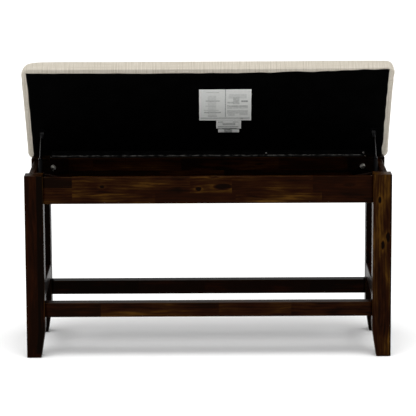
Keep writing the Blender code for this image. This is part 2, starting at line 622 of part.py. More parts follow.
def make_stay(bench, lid, side, sign):
    """Makes one gas stay: foot bracket, tube, rod, socket and lid bracket."""
    open_length = stay_length(LID_PIVOT, 0.0)
    collar = stay_length(LID_PIVOT, 1.0) - STAY_CLOSED_NOSE
    run = lid_point(LID_PIVOT) - FOOT_PIVOT
    angle = math.atan2(run.z, run.y)
    foot = (sign * STAY_X, FOOT_PIVOT.y, FOOT_PIVOT.z)
    head = (sign * STAY_X, lid_point(LID_PIVOT).y, lid_point(LID_PIVOT).z)
    turn = (angle, 0, 0)

    # The tube and its eye run along +Y from the foot pivot; the tube starts clear of the stud's head.
    bm = bmesh.new()
    add_cylinder(bm, (0, PIVOT_HEAD_RADIUS + GAP, 0), (0, collar - STAY_COLLAR_LENGTH, 0), STAY_TUBE_RADIUS)
    tube = make_object(f"stay_tube_{side}", bm, black_enamel(), bench, foot, turn)
    added = bmesh.new()
    add_cylinder(added, (0, collar - 2 * STAY_COLLAR_LENGTH, 0), (0, collar, 0), STAY_COLLAR_RADIUS)
    combine(tube, added, "UNION")
    eye = bmesh.new()
    add_cylinder(eye, (-EYE_WIDTH / 2, 0, 0), (EYE_WIDTH / 2, 0, 0), EYE_RADIUS)
    combine(tube, eye, "UNION")
    cuts = bmesh.new()
    add_cylinder(cuts, (0, STAY_BORE_FLOOR, 0), (0, collar + STAY_COLLAR_LENGTH, 0),
                 STAY_ROD_RADIUS + STAY_ROD_CLEARANCE)
    combine(tube, cuts, "DIFFERENCE")
    pin_hole = bmesh.new()
    add_cylinder(pin_hole, (-EYE_WIDTH, 0, 0), (EYE_WIDTH, 0, 0), PIVOT_RADIUS + PIVOT_CLEARANCE)
    combine(tube, pin_hole, "DIFFERENCE")
    shade_round(tube)

    # The rod and its socket run along -Y from the lid pivot.
    rod_end = -(open_length - collar + STAY_ROD_INSIDE)
    rod = bmesh.new()
    add_cylinder(rod, (0, rod_end, 0), (0, -SOCKET_LENGTH - GAP, 0), STAY_ROD_RADIUS)
    shade_round(make_object(f"stay_rod_{side}", rod, nitrided_steel(), bench, head, turn))
    body = bmesh.new()
    add_cylinder(body, (0, -SOCKET_LENGTH, 0), (0, 0, 0), SOCKET_RADIUS * SOCKET_DRAFT, SOCKET_RADIUS)
    socket = make_object(f"stay_socket_{side}", body, black_nylon(), bench, head, turn)
    eye = bmesh.new()
    add_cylinder(eye, (-EYE_WIDTH / 2, 0, 0), (EYE_WIDTH / 2, 0, 0), EYE_RADIUS)
    combine(socket, eye, "UNION")
    cap = bmesh.new()
    inner_side = -sign * EYE_WIDTH / 2
    add_cylinder(cap, (inner_side / 2, 0, 0), (inner_side - sign * PIVOT_HEAD_HEIGHT, 0, 0), PIVOT_HEAD_RADIUS)
    combine(socket, cap, "UNION")
    shade_round(socket)

    make_foot_bracket(bench, side, sign, foot)
    make_lid_bracket(lid, side, sign)


def make_foot_bracket(bench, side, sign, foot):
    """Makes the plate on the side apron with the headed stud that the tube's eye turns on."""
    wall = (BOX_HALF_WIDTH - GAP - STAY_X) * sign
    plate = bmesh.new()
    face = wall - sign * BRACKET_THICKNESS
    add_box(plate, (min(wall, face), -FOOT_PLATE_HALF, -FOOT_PLATE_HALF),
            (max(wall, face), FOOT_PLATE_HALF, FOOT_PLATE_HALF))
    bracket = make_object(f"stay_foot_bracket_{side}", plate, black_enamel(), bench, foot)
    head = -sign * (EYE_WIDTH / 2 + GAP)
    stud = bmesh.new()
    add_cylinder(stud, ((wall + face) / 2, 0, 0), (head - sign * PIVOT_HEAD_HEIGHT / 2, 0, 0), PIVOT_RADIUS)
    combine(bracket, stud, "UNION")
    cap = bmesh.new()
    add_cylinder(cap, (head, 0, 0), (head - sign * PIVOT_HEAD_HEIGHT, 0, 0), PIVOT_HEAD_RADIUS)
    combine(bracket, cap, "UNION")


def make_lid_bracket(lid, side, sign):
    """Makes the angle bracket under the lid; its boss stops just short of the stay's socket."""
    boss_end = sign * (EYE_WIDTH / 2 + GAP)
    plate_in = boss_end + sign * PIVOT_HEAD_HEIGHT
    plate_out = plate_in + sign * BRACKET_THICKNESS
    flange_top = STAY_LID_DROP - GAP
    flange_in = plate_out - sign * BRACKET_FLANGE
    location = (sign * STAY_X, LID_PIVOT.y, LID_PIVOT.z)
    plate = bmesh.new()
    add_box(plate, (min(plate_in, plate_out), -BRACKET_HALF_WIDTH, -BRACKET_HALF_WIDTH),
            (max(plate_in, plate_out), BRACKET_HALF_WIDTH, flange_top))
    bracket = make_object(f"stay_lid_bracket_{side}", plate, black_enamel(), lid, location)
    flange = bmesh.new()
    add_box(flange, (min(flange_in, plate_out), -BRACKET_HALF_WIDTH, flange_top - BRACKET_THICKNESS),
            (max(flange_in, plate_out), BRACKET_HALF_WIDTH, flange_top))
    combine(bracket, flange, "UNION")
    boss = bmesh.new()
    add_cylinder(boss, (boss_end, 0, 0), ((plate_in + plate_out) / 2, 0, 0), PIVOT_HEAD_RADIUS)
    combine(bracket, boss, "UNION")


# ---------------------------------------------------------------- the whole bench
def make_bench():
    for old in list(bpy.data.objects):
        bpy.data.objects.remove(old, do_unlink=True)
    bench = make_empty("bench", (0, -ORIGIN_Y, 0))
    lid = make_empty("lid", (0, HINGE_Y, HINGE_Z), (-OPEN_ANGLE, 0, 0), bench)
    make_aprons(bench)
    make_stretchers(bench)
    for row, along in (("front", -1), ("rear", 1)):
        for side, across in (("left", -1), ("right", 1)):
            corner = f"{row}_{side}"
            make_leg(bench, f"leg_{corner}", across, along)
            make_glide(bench, f"glide_{corner}", across, along)
            make_corner_block(bench, corner, across, along)
    make_box_floor(bench)
    make_hinge(bench, lid)
    make_lid(lid)
    make_labels(lid)
    make_stay(bench, lid, "left", -1)
    make_stay(bench, lid, "right", 1)


make_bench()
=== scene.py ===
"""Storage bench: a lacquered acacia frame under a padded, linen-covered lid on a piano hinge.

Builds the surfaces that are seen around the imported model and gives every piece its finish. Metres, +Z up,
front towards -Y. What belongs to the lid is shaped with the lid closed, then turned up to where it rests.
"""

import json
import math
import random

import bmesh
import bpy
from mathutils import Matrix, Vector, noise


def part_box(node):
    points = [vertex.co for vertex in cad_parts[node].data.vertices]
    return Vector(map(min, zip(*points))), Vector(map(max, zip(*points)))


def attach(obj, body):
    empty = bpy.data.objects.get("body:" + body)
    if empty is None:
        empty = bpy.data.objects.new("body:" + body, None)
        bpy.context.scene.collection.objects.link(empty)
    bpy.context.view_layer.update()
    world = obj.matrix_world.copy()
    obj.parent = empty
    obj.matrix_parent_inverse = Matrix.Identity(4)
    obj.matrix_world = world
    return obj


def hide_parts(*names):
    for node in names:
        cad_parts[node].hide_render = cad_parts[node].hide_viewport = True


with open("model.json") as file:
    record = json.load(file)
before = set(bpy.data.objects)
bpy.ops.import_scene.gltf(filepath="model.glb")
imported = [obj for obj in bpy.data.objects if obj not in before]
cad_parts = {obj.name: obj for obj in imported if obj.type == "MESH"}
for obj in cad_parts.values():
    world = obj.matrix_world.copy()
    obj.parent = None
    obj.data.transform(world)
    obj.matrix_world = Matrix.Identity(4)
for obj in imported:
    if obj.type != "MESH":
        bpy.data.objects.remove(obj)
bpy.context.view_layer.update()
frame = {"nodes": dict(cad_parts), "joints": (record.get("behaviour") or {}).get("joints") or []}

bl_info = {
    "name": "Storage bench",
    "version": (1, 0, 0),
    "blender": (4, 5, 0),
    "location": "View3D > Sidebar > Bench",
    "description": "Builds the timber, upholstery, fittings and stage of a hinged-lid storage bench",
    "category": "Object",
}

MM = 0.001

CORNERS = ("front_left", "front_right", "rear_left", "rear_right")
SIDES = ("front", "rear", "left", "right")

LID_JOINT = next(joint for joint in frame["joints"] if joint["name"] == "lid_hinge")
HINGE = Vector(LID_JOINT["pos_m"])
OPEN_ANGLE = math.radians(max(LID_JOINT["range_deg"]))
LID_PLACE = Matrix.Translation(HINGE) @ Matrix.Rotation(-OPEN_ANGLE, 4, "X")


def linear(code):
    """Turns an sRGB hex colour into the linear values that shaders take."""
    shares = [int(code[i:i + 2], 16) / 255 for i in (0, 2, 4)]
    return tuple(s / 12.92 if s <= 0.04045 else ((s + 0.055) / 1.055) ** 2.4 for s in shares)


def closed_box(node):
    """Returns a lid node's lowest and highest corners with the lid closed, counted from the hinge axis."""
    turn = LID_PLACE.inverted()
    points = [turn @ vert.co for vert in frame["nodes"][node].data.vertices]
    low = Vector([min(point[i] for point in points) for i in range(3)])
    high = Vector([max(point[i] for point in points) for i in range(3)])
    return low, high


# ---------------------------------------------------------------- sizes and colours
class BENCH_PG_timber(bpy.types.PropertyGroup):
    """Sizes and colours of the lacquered timber."""
    arris: bpy.props.FloatProperty(
        name="Arris radius", description="Rounding of the long edges", default=1.8 * MM,
        min=0.5 * MM, max=5 * MM, unit="LENGTH", precision=4)
    wear: bpy.props.FloatProperty(
        name="Edge wear", description="How deep sanding has eaten into the edges", default=0.5 * MM,
        min=0.0, max=2 * MM, unit="LENGTH", precision=4)
    black: bpy.props.FloatVectorProperty(
        name="Dark streak", description="Colour of the dark heartwood streaks under the stain",
        subtype="COLOR", default=linear("070301"), min=0.0, max=1.0)
    maroon: bpy.props.FloatVectorProperty(
        name="Maroon", description="Stained heartwood with a red cast", subtype="COLOR",
        default=linear("1a0802"), min=0.0, max=1.0)
    brown: bpy.props.FloatVectorProperty(
        name="Brown", description="Main colour of the stained wood", subtype="COLOR",
        default=linear("251304"), min=0.0, max=1.0)
    gold: bpy.props.FloatVectorProperty(
        name="Gold", description="Lighter figure where the wood took little stain", subtype="COLOR",
        default=linear("472e0b"), min=0.0, max=1.0)


class BENCH_PG_lid(bpy.types.PropertyGroup):
    """Sizes and colours of the padded lid."""
    crown: bpy.props.FloatProperty(
        name="Crown", description="How far the seat rises in its middle", default=2.5 * MM,
        min=0.0, max=15 * MM, unit="LENGTH", precision=4)
    swell: bpy.props.FloatProperty(
        name="Swell limit", description="The furthest that the stuffed cover moves from its pattern",
        default=5 * MM, min=0.0, max=20 * MM, unit="LENGTH", precision=4)
    thread: bpy.props.FloatProperty(
        name="Thread spacing", description="Distance between threads of the linen weave", default=1.2 * MM,
        min=0.3 * MM, max=4 * MM, unit="LENGTH", precision=4)
    linen: bpy.props.FloatVectorProperty(
        name="Linen", description="Main colour of the cover", subtype="COLOR",
        default=linear("cdc6ba"), min=0.0, max=1.0)
    slub: bpy.props.FloatVectorProperty(
        name="Slub", description="Colour of the darker, thicker threads", subtype="COLOR",
        default=linear("aca494"), min=0.0, max=1.0)
    cloth: bpy.props.FloatVectorProperty(
        name="Dust cover", description="Colour of the black cloth under the lid", subtype="COLOR",
        default=linear("020202"), min=0.0, max=1.0)
    label: bpy.props.FloatVectorProperty(
        name="Label", description="Colour of the spun fibre label", subtype="COLOR",
        default=linear("e6e7e4"), min=0.0, max=1.0)
    print: bpy.props.FloatVectorProperty(
        name="Label print", description="Colour of the printed lines", subtype="COLOR",
        default=linear("5f6461"), min=0.0, max=1.0)


class BENCH_PG_fittings(bpy.types.PropertyGroup):
    """Sizes and colours of the metal and plastic fittings."""
    screw_pitch: bpy.props.FloatProperty(
        name="Hinge screw spacing", description="Distance between the hinge's screws", default=99 * MM,
        min=40 * MM, max=200 * MM, unit="LENGTH")
    screw_head: bpy.props.FloatProperty(
        name="Screw head", description="Radius of a screw's head", default=3.0 * MM,
        min=1.5 * MM, max=6 * MM, unit="LENGTH", precision=4)
    zinc: bpy.props.FloatVectorProperty(
        name="Zinc", description="Colour of the zinc-plated steel", subtype="COLOR",
        default=linear("c8c7c1"), min=0.0, max=1.0)
    rod: bpy.props.FloatVectorProperty(
        name="Nitrided rod", description="Colour of the black nitrided rods", subtype="COLOR",
        default=linear("1c1c1e"), min=0.0, max=1.0)
    enamel: bpy.props.FloatVectorProperty(
        name="Enamel", description="Colour of the painted tubes and brackets", subtype="COLOR",
        default=linear("0c0c0d"), min=0.0, max=1.0)


class BENCH_PG_stage(bpy.types.PropertyGroup):
    """The camera, the floor and the lights."""
    lens: bpy.props.FloatProperty(
        name="Lens", description="Focal length of the camera, in millimetres", default=209.94,
        min=20.0, max=400.0)
    distance: bpy.props.FloatProperty(
        name="Camera distance", description="From the camera to the front legs, along the floor",
        default=7.2489, min=1.0, max=30.0, unit="LENGTH")
    height: bpy.props.FloatProperty(
        name="Camera height", description="The camera above the floor", default=1.8343,
        min=0.1, max=5.0, unit="LENGTH")
    pitch: bpy.props.FloatProperty(
        name="Camera pitch", description="How far the camera looks down", default=math.radians(10.68),
        min=0.0, max=1.5, subtype="ANGLE", unit="ROTATION")
    roll: bpy.props.FloatProperty(
        name="Camera roll", description="How far the camera leans", default=math.radians(-0.27),
        min=-0.2, max=0.2, subtype="ANGLE", unit="ROTATION")
    floor: bpy.props.FloatVectorProperty(
        name="Floor", description="Colour of the floor", subtype="COLOR",
        default=linear("fafafa"), min=0.0, max=1.0)
    sky: bpy.props.FloatProperty(
        name="Room light", description="Strength of the even light from all round", default=0.75,
        min=0.0, max=5.0)
    key: bpy.props.FloatProperty(
        name="Overhead light", description="Strength of the soft light from above", default=2.15,
        min=0.0, max=10.0)
    softness: bpy.props.FloatProperty(
        name="Softness", description="Angle that the overhead light covers", default=math.radians(50),
        min=0.0, max=3.0, subtype="ANGLE", unit="ROTATION")


# ---------------------------------------------------------------- shader helpers
def add_node(tree, kind, inputs=None, stops=None, to=None, **settings):
    """Adds a shader node, sets its properties and inputs, and links sockets given as inputs or as to."""
    node = tree.nodes.new("ShaderNode" + kind)
    for name, value in settings.items():
        setattr(node, name, value)
    for name, value in (inputs or {}).items():
        socket = node.inputs[name]
        if isinstance(value, bpy.types.NodeSocket):
            tree.links.new(value, socket)
        elif socket.type == "RGBA" and len(value) == 3:
            socket.default_value = (*value, 1.0)
        else:
            socket.default_value = value
    if stops:
        while len(node.color_ramp.elements) < len(stops):
            node.color_ramp.elements.new(1.0)
        for element, (place, colour) in zip(node.color_ramp.elements, stops):
            element.position = place
            element.color = (*colour, 1.0)
    if to:
        tree.links.new(node.outputs[0], to)
    return node


def new_material(name, **values):
    """Starts a material and returns it with its node tree and its shader, set to the given values."""
    material = bpy.data.materials.get(name) or bpy.data.materials.new(name)
    material.use_nodes = True
    tree = material.node_tree
    tree.nodes.clear()
    inputs = {label.replace("_", " "): value for label, value in values.items()}
    shader = add_node(tree, "BsdfPrincipled", inputs)
    add_node(tree, "OutputMaterial", {"Surface": shader.outputs[0]})
    return material, tree, shader


def shaded(colour, share):
    """Returns a colour made darker or lighter by a factor."""
    return tuple(share * part for part in colour)


def grained(name, stops, scale, detail, stretch=None, coarse=0.5, relief=0.0, gloss=None, **values):
    """Makes a material whose colour follows one noise, as do its relief and its roughness where given.

    relief is in metres, and gloss is the roughness as (gain, base).
    """
    material, tree, shader = new_material(name, **values)
    place = add_node(tree, "TexCoord").outputs["Object"]
    if stretch:
        place = add_node(tree, "VectorMath", {0: place, 1: stretch}, operation="MULTIPLY").outputs[0]
    grain = add_node(tree, "TexNoise", {"Vector": place, "Scale": scale, "Detail": detail,
                                        "Roughness": coarse}).outputs["Fac"]
    add_node(tree, "ValToRGB", {0: grain}, stops=stops, to=shader.inputs["Base Color"])
    if relief:
        add_node(tree, "Bump", {"Height": grain, "Distance": relief}, to=shader.inputs["Normal"])
    if gloss:
        add_node(tree, "Math", {0: grain, 1: gloss[0], 2: gloss[1]}, operation="MULTIPLY_ADD",
                 to=shader.inputs["Roughness"])
    return material


# ---------------------------------------------------------------- materials
def stained_acacia(name, knots=()):
    """Acacia, glued up from staves, stained dark brown and sprayed with satin lacquer.

    The eye sees near-black streaks over maroon and brown, golden figure where the stain didn't take, a
    few knots, and a soft sheen that turns bright only where the surface is seen at a low angle.
    """
    look = bpy.context.scene.bench_timber
    material, tree, shader = new_material(name, IOR=1.5, Specular_IOR_Level=0.012)
    place = add_node(tree, "Attribute", attribute_name="grain").outputs["Vector"]
    stave = add_node(tree, "Attribute", attribute_name="stave").outputs["Vector"]
    worn = add_node(tree, "Attribute", attribute_name="worn").outputs["Fac"]
    tone, hue, seed = add_node(tree, "SeparateXYZ", {0: stave}).outputs
    shift = add_node(tree, "VectorMath", {0: (3.7, 1.9, 2.3), "Scale": seed}, operation="SCALE").outputs[0]
    board = add_node(tree, "VectorMath", {0: place, 1: shift}, operation="ADD").outputs[0]

    # The fibres wander by several millimetres over a hand's length.
    wander = add_node(tree, "VectorMath", {0: board, 1: (5.0, 22.0, 22.0)}, operation="MULTIPLY").outputs[0]
    drift = add_node(tree, "TexNoise", {"Vector": wander, "Scale": 1.0, "Detail": 2.0}).outputs["Color"]
    drift = add_node(tree, "VectorMath", {0: drift, 1: (0.5, 0.5, 0.5)}, operation="SUBTRACT").outputs[0]
    drift = add_node(tree, "VectorMath", {0: drift, 1: (0.0, 0.020, 0.020)}, operation="MULTIPLY").outputs[0]
    fibre = add_node(tree, "VectorMath", {0: board, 1: drift}, operation="ADD").outputs[0]

    # Broad patches about 25 mm across and a hand long.
    broad = add_node(tree, "VectorMath", {0: fibre, 1: (7.0, 38.0, 38.0)}, operation="MULTIPLY").outputs[0]
    streak = add_node(tree, "TexNoise", {"Vector": broad, "Scale": 1.0, "Detail": 5.0, "Roughness": 0.58})
    # Growth rings 6 mm apart, cut so that they open into long arches.
    ringed = add_node(tree, "VectorMath", {0: fibre, 1: (0.05, 0.0, 0.045)}, operation="ADD").outputs[0]
    ringed = add_node(tree, "VectorMath", {0: ringed, 1: (0.08, 1.0, 1.0)}, operation="MULTIPLY").outputs[0]
    rings = add_node(tree, "TexWave", {"Vector": ringed, "Scale": 52.0, "Distortion": 2.4, "Detail": 3.0,
                                       "Detail Scale": 1.3}, wave_type="RINGS", rings_direction="SPHERICAL")
    # Pores 1 mm across, coarser than real ones so that they show, in dashes 40 mm long.
    fine = add_node(tree, "VectorMath", {0: fibre, 1: (25.0, 900.0, 900.0)}, operation="MULTIPLY").outputs[0]
    pores = add_node(tree, "TexNoise", {"Vector": fine, "Scale": 1.0, "Detail": 3.0, "Roughness": 0.6})

    figure = add_node(tree, "Math", {0: streak.outputs["Fac"], 1: 1.7, 2: -0.45}, operation="MULTIPLY_ADD")
    figure = add_node(tree, "Math", {0: rings.outputs["Fac"], 1: 0.16, 2: figure.outputs[0]},
                      operation="MULTIPLY_ADD")
    figure = add_node(tree, "Math", {0: pores.outputs["Fac"], 1: 0.26, 2: figure.outputs[0]},
                      operation="MULTIPLY_ADD")
    figure = add_node(tree, "Math", {0: tone, 1: 0.34, 2: figure.outputs[0]}, operation="MULTIPLY_ADD")
    figure = add_node(tree, "Math", {0: figure.outputs[0], 1: 0.21}, operation="SUBTRACT")

    # A few small knots lie at random, and the large ones where they are given.
    cell = add_node(tree, "VectorMath", {0: fibre, 1: (5.5, 17.0, 17.0)}, operation="MULTIPLY").outputs[0]
    spot = add_node(tree, "TexVoronoi", {"Vector": cell, "Scale": 1.0, "Randomness": 1.0})
    chance = add_node(tree, "SeparateColor", {0: spot.outputs["Color"]}).outputs[0]
    rare = add_node(tree, "Math", {0: chance, 1: 0.72}, operation="GREATER_THAN").outputs[0]
    away = add_node(tree, "Math", {0: 1.0, 1: rare}, operation="SUBTRACT").outputs[0]
    nearest = add_node(tree, "Math", {0: spot.outputs["Distance"], 1: 6.0, 2: away},
                       operation="MULTIPLY_ADD").outputs[0]
    world = add_node(tree, "TexCoord").outputs["Object"]
    wobble = add_node(tree, "TexNoise", {"Vector": world, "Scale": 90.0, "Detail": 2.0}).outputs["Fac"]
    for centre, size in knots:
        offset = add_node(tree, "VectorMath", {0: world, 1: centre}, operation="SUBTRACT").outputs[0]
        offset = add_node(tree, "VectorMath", {0: offset, 1: tuple(1 / s for s in size)},
                          operation="MULTIPLY").outputs[0]
        reach = add_node(tree, "VectorMath", {0: offset}, operation="LENGTH").outputs["Value"]
        reach = add_node(tree, "Math", {0: wobble, 1: 0.9, 2: reach}, operation="MULTIPLY_ADD").outputs[0]
        reach = add_node(tree, "Math", {0: reach, 1: 0.45}, operation="SUBTRACT").outputs[0]
        nearest = add_node(tree, "Math", {0: nearest, 1: reach}, operation="MINIMUM").outputs[0]
    heart = add_node(tree, "MapRange", {"Value": nearest, "From Min": 1.15, "From Max": 0.75,
                                        "To Min": 0.0, "To Max": 0.75}).outputs[0]
    halo = add_node(tree, "MapRange", {"Value": nearest, "From Min": 2.6, "From Max": 1.3,
                                       "To Min": 0.0, "To Max": 0.20}).outputs[0]
    figure = add_node(tree, "Math", {0: figure.outputs[0], 1: halo}, operation="ADD")
    figure = add_node(tree, "Math", {0: figure.outputs[0], 1: heart}, operation="SUBTRACT")

    stops = ((0.12, look.black), (0.38, look.maroon), (0.60, look.brown), (0.92, look.gold))
    colour = add_node(tree, "ValToRGB", {0: figure.outputs[0]}, stops=stops).outputs[0]
    reddened = add_node(tree, "Mix", {"Factor": hue, "A": colour, "B": look.maroon},
                        data_type="RGBA").outputs["Result"]
    # Sanded arrises show the wood a shade lighter through the lacquer.
    rubbed = add_node(tree, "Math", {0: worn, 1: 0.35}, operation="MULTIPLY").outputs[0]
    colour = add_node(tree, "Mix", {"Factor": rubbed, "A": reddened, "B": look.gold},
                      data_type="RGBA").outputs["Result"]
    tree.links.new(colour, shader.inputs["Base Color"])
    add_node(tree, "Math", {0: pores.outputs["Fac"], 1: 0.16, 2: 0.24}, operation="MULTIPLY_ADD",
             to=shader.inputs["Roughness"])
    # Lacquer sinks into the pores and leaves a faint ripple.
    add_node(tree, "Bump", {"Height": pores.outputs["Fac"], "Distance": 0.12 * MM},
             to=shader.inputs["Normal"])
    return material


def stained_plywood():
    """Plywood and softwood brushed with brown stain and left unlacquered: dull, dark, with open grain."""
    look = bpy.context.scene.bench_timber
    stops = ((0.35, shaded(look.black, 0.5)), (0.80, shaded(look.maroon, 0.6)))
    return grained("stained_plywood", stops, 1.0, 6.0, stretch=(6.0, 90.0, 160.0), coarse=0.6,
                   relief=0.2 * MM, Roughness=0.75, Specular_IOR_Level=0.02)


def birch_plywood():
    """Raw birch plywood: pale, slightly furry veneer with long faint figure."""
    stops = ((0.30, linear("a98a5e")), (0.70, linear("cdb487")))
    return grained("birch_plywood", stops, 1.0, 6.0, stretch=(5.0, 70.0, 70.0), coarse=0.6, relief=0.15 * MM,
                   Roughness=0.7)


def oat_linen():
    """Linen-look plain weave in oat: matt, slightly hairy, with thick slubs running both ways.

    The eye sees a pale warm cloth with faint streaks along the threads, and a soft bloom at its edges.
    """
    look = bpy.context.scene.bench_lid
    material, tree, shader = new_material(
        "oat_linen", Roughness=0.92, Specular_IOR_Level=0.2, Sheen_Weight=0.12, Sheen_Roughness=0.5)
    place = add_node(tree, "Attribute", attribute_name="cloth").outputs["Vector"]
    across, along, _ = add_node(tree, "SeparateXYZ", {0: place}).outputs
    turns = math.pi / look.thread
    heights = []
    for run in (across, along):
        phase = add_node(tree, "Math", {0: run, 1: turns}, operation="MULTIPLY").outputs[0]
        ridge = add_node(tree, "Math", {0: phase}, operation="SINE").outputs[0]
        heights.append(add_node(tree, "Math", {0: ridge}, operation="ABSOLUTE").outputs[0])
    weave = add_node(tree, "Math", {0: heights[0], 1: heights[1]}, operation="MULTIPLY").outputs[0]
    # Slubs are 2 to 4 mm wide, coarser than real ones so that they show, and a hand's breadth long.
    streaks = []
    for stretch, share in (((230.0, 7.0, 0.0), 1.0), ((7.0, 230.0, 0.0), 0.6)):
        run = add_node(tree, "VectorMath", {0: place, 1: stretch}, operation="MULTIPLY").outputs[0]
        slub = add_node(tree, "TexNoise", {"Vector": run, "Scale": 1.0, "Detail": 2.5, "Roughness": 0.6})
        streaks.append(add_node(tree, "MapRange", {"Value": slub.outputs["Fac"], "From Min": 0.42,
                                                   "From Max": 0.66, "To Max": share}).outputs[0])
    slubs = add_node(tree, "Math", {0: streaks[0], 1: streaks[1]}, operation="MAXIMUM").outputs[0]
    # Painted shade: the gaps between the threads, where the weave is low, are drawn darker.
    shade = add_node(tree, "MapRange", {"Value": weave, "From Min": 0.0, "From Max": 0.5,
                                        "To Min": 0.42, "To Max": 0.0}).outputs[0]
    darker = add_node(tree, "Math", {0: slubs, 1: 0.85, 2: shade}, operation="MULTIPLY_ADD").outputs[0]
    colour = add_node(tree, "Mix", {"Factor": darker, "A": look.linen, "B": look.slub},
                      data_type="RGBA").outputs["Result"]
    tree.links.new(colour, shader.inputs["Base Color"])
    relief = add_node(tree, "Math", {0: slubs, 1: 0.6, 2: weave}, operation="MULTIPLY_ADD").outputs[0]
    add_node(tree, "Bump", {"Height": relief, "Distance": 0.35 * MM}, to=shader.inputs["Normal"])
    return material


def seat_foam():
    """Cut polyurethane foam: cream, with fine open cells."""
    material, tree, shader = new_material("polyurethane_foam", Roughness=0.95, Specular_IOR_Level=0.2)
    place = add_node(tree, "TexCoord").outputs["Object"]
    cells = add_node(tree, "TexVoronoi", {"Vector": place, "Scale": 900.0})
    # Painted shade: each cell's hollow is drawn darker than its rim.
    stops = ((0.0, linear("b7a66c")), (0.6, linear("e6dbb0")))
    add_node(tree, "ValToRGB", {0: cells.outputs["Distance"]}, stops=stops, to=shader.inputs["Base Color"])
    add_node(tree, "Bump", {"Height": cells.outputs["Distance"], "Distance": 0.4 * MM},
             to=shader.inputs["Normal"])
    return material


def black_cambric():
    """Spun-bonded polypropylene dust cloth: matt black, thin, with a fine embossed dot pattern."""
    look = bpy.context.scene.bench_lid
    material, tree, shader = new_material("black_cambric", Roughness=0.95, Specular_IOR_Level=0.01)
    place = add_node(tree, "Attribute", attribute_name="cloth").outputs["Vector"]
    # Bond points 2 mm apart, twice the real spacing so that they show.
    dots = add_node(tree, "TexVoronoi", {"Vector": place, "Scale": 500.0, "Randomness": 0.15})
    fibres = add_node(tree, "TexNoise", {"Vector": place, "Scale": 700.0, "Detail": 4.0})
    height = add_node(tree, "Math", {0: dots.outputs["Distance"], 1: fibres.outputs["Fac"]}, operation="ADD")
    patch = add_node(tree, "TexNoise", {"Vector": place, "Scale": 18.0, "Detail": 3.0}).outputs["Fac"]
    stops = ((0.3, shaded(look.cloth, 0.6)), (0.7, shaded(look.cloth, 1.4)))
    add_node(tree, "ValToRGB", {0: patch}, stops=stops, to=shader.inputs["Base Color"])
    add_node(tree, "Bump", {"Height": height.outputs[0], "Distance": 0.15 * MM}, to=shader.inputs["Normal"])
    return material


def printed_fibre():
    """Spun polyester label stock, white and slightly see-through, with rows of faint grey print.

    The print is plain bars, in two columns parted by a thin line.
    """
    look = bpy.context.scene.bench_lid
    material, tree, shader = new_material("label_fibre", Roughness=0.7, Specular_IOR_Level=0.3)
    place = add_node(tree, "Attribute", attribute_name="cloth").outputs["Vector"]
    ink = add_node(tree, "Attribute", attribute_name="ink").outputs["Fac"]
    # The ink takes unevenly on the rough fibres.
    blot = add_node(tree, "TexNoise", {"Vector": place, "Scale": 160.0, "Detail": 3.0}).outputs["Fac"]
    blot = add_node(tree, "MapRange", {"Value": blot, "From Min": 0.3, "From Max": 0.6,
                                       "To Min": 0.6}).outputs[0]
    ink = add_node(tree, "Math", {0: ink, 1: blot}, operation="MULTIPLY").outputs[0]
    colour = add_node(tree, "Mix", {"Factor": ink, "A": look.label, "B": look.print},
                      data_type="RGBA").outputs["Result"]
    tree.links.new(colour, shader.inputs["Base Color"])
    fibres = add_node(tree, "TexNoise", {"Vector": place, "Scale": 450.0, "Detail": 5.0}).outputs["Fac"]
    add_node(tree, "Bump", {"Height": fibres, "Distance": 0.1 * MM}, to=shader.inputs["Normal"])
    return material


def zinc_plate():
    """Bright zinc plating on rolled steel: grey, half gloss, with faint cloudy patches."""
    look = bpy.context.scene.bench_fittings
    stops = ((0.3, shaded(look.zinc, 0.7)), (0.7, tuple(look.zinc)))
    return grained("zinc_plate", stops, 260.0, 4.0, gloss=(0.2, 0.25), Metallic=1.0)


def nitrided_steel():
    """Black nitrided steel, ground and polished: a dark mirror with the finest lines around it."""
    look = bpy.context.scene.bench_fittings
    stops = ((0.2, shaded(look.rod, 0.7)), (0.8, tuple(look.rod)))
    return grained("nitrided_steel", stops, 1500.0, 2.0, gloss=(0.10, 0.12), Metallic=1.0)


def black_enamel():
    """Stoved black enamel on steel: smooth, half gloss, with a slight orange-peel ripple."""
    look = bpy.context.scene.bench_fittings
    stops = ((0.2, shaded(look.enamel, 0.6)), (0.8, tuple(look.enamel)))
    return grained("black_enamel", stops, 700.0, 2.0, relief=0.05 * MM, Roughness=0.45,
                   Specular_IOR_Level=0.02)


def rubbed_hinge_black():
    """Blacked steel hinge: dull black leaves, with bare grey steel where the knuckles have rubbed."""
    look = bpy.context.scene.bench_fittings
    material, tree, shader = new_material("rubbed_black_hinge", Roughness=0.4, Specular_IOR_Level=0.05)
    place = add_node(tree, "TexCoord").outputs["Object"]
    offset = add_node(tree, "VectorMath", {0: place, 1: tuple(HINGE)}, operation="SUBTRACT").outputs[0]
    flat = add_node(tree, "VectorMath", {0: offset, 1: (0.0, 1.0, 1.0)}, operation="MULTIPLY").outputs[0]
    away = add_node(tree, "VectorMath", {0: flat}, operation="LENGTH").outputs["Value"]
    knuckle = add_node(tree, "MapRange", {"Value": away, "From Min": 3.2 * MM,
                                          "From Max": 2.7 * MM}).outputs[0]
    along = add_node(tree, "VectorMath", {0: place, 1: (70.0, 300.0, 300.0)}, operation="MULTIPLY").outputs[0]
    patch = add_node(tree, "TexNoise", {"Vector": along, "Scale": 1.0, "Detail": 4.0}).outputs["Fac"]
    patch = add_node(tree, "MapRange", {"Value": patch, "From Min": 0.48, "From Max": 0.60}).outputs[0]
    bare = add_node(tree, "Math", {0: knuckle, 1: patch}, operation="MULTIPLY").outputs[0]
    colour = add_node(tree, "Mix", {"Factor": bare, "A": look.enamel, "B": shaded(look.zinc, 0.28)},
                      data_type="RGBA").outputs["Result"]
    tree.links.new(colour, shader.inputs["Base Color"])
    tree.links.new(bare, shader.inputs["Metallic"])
    return material


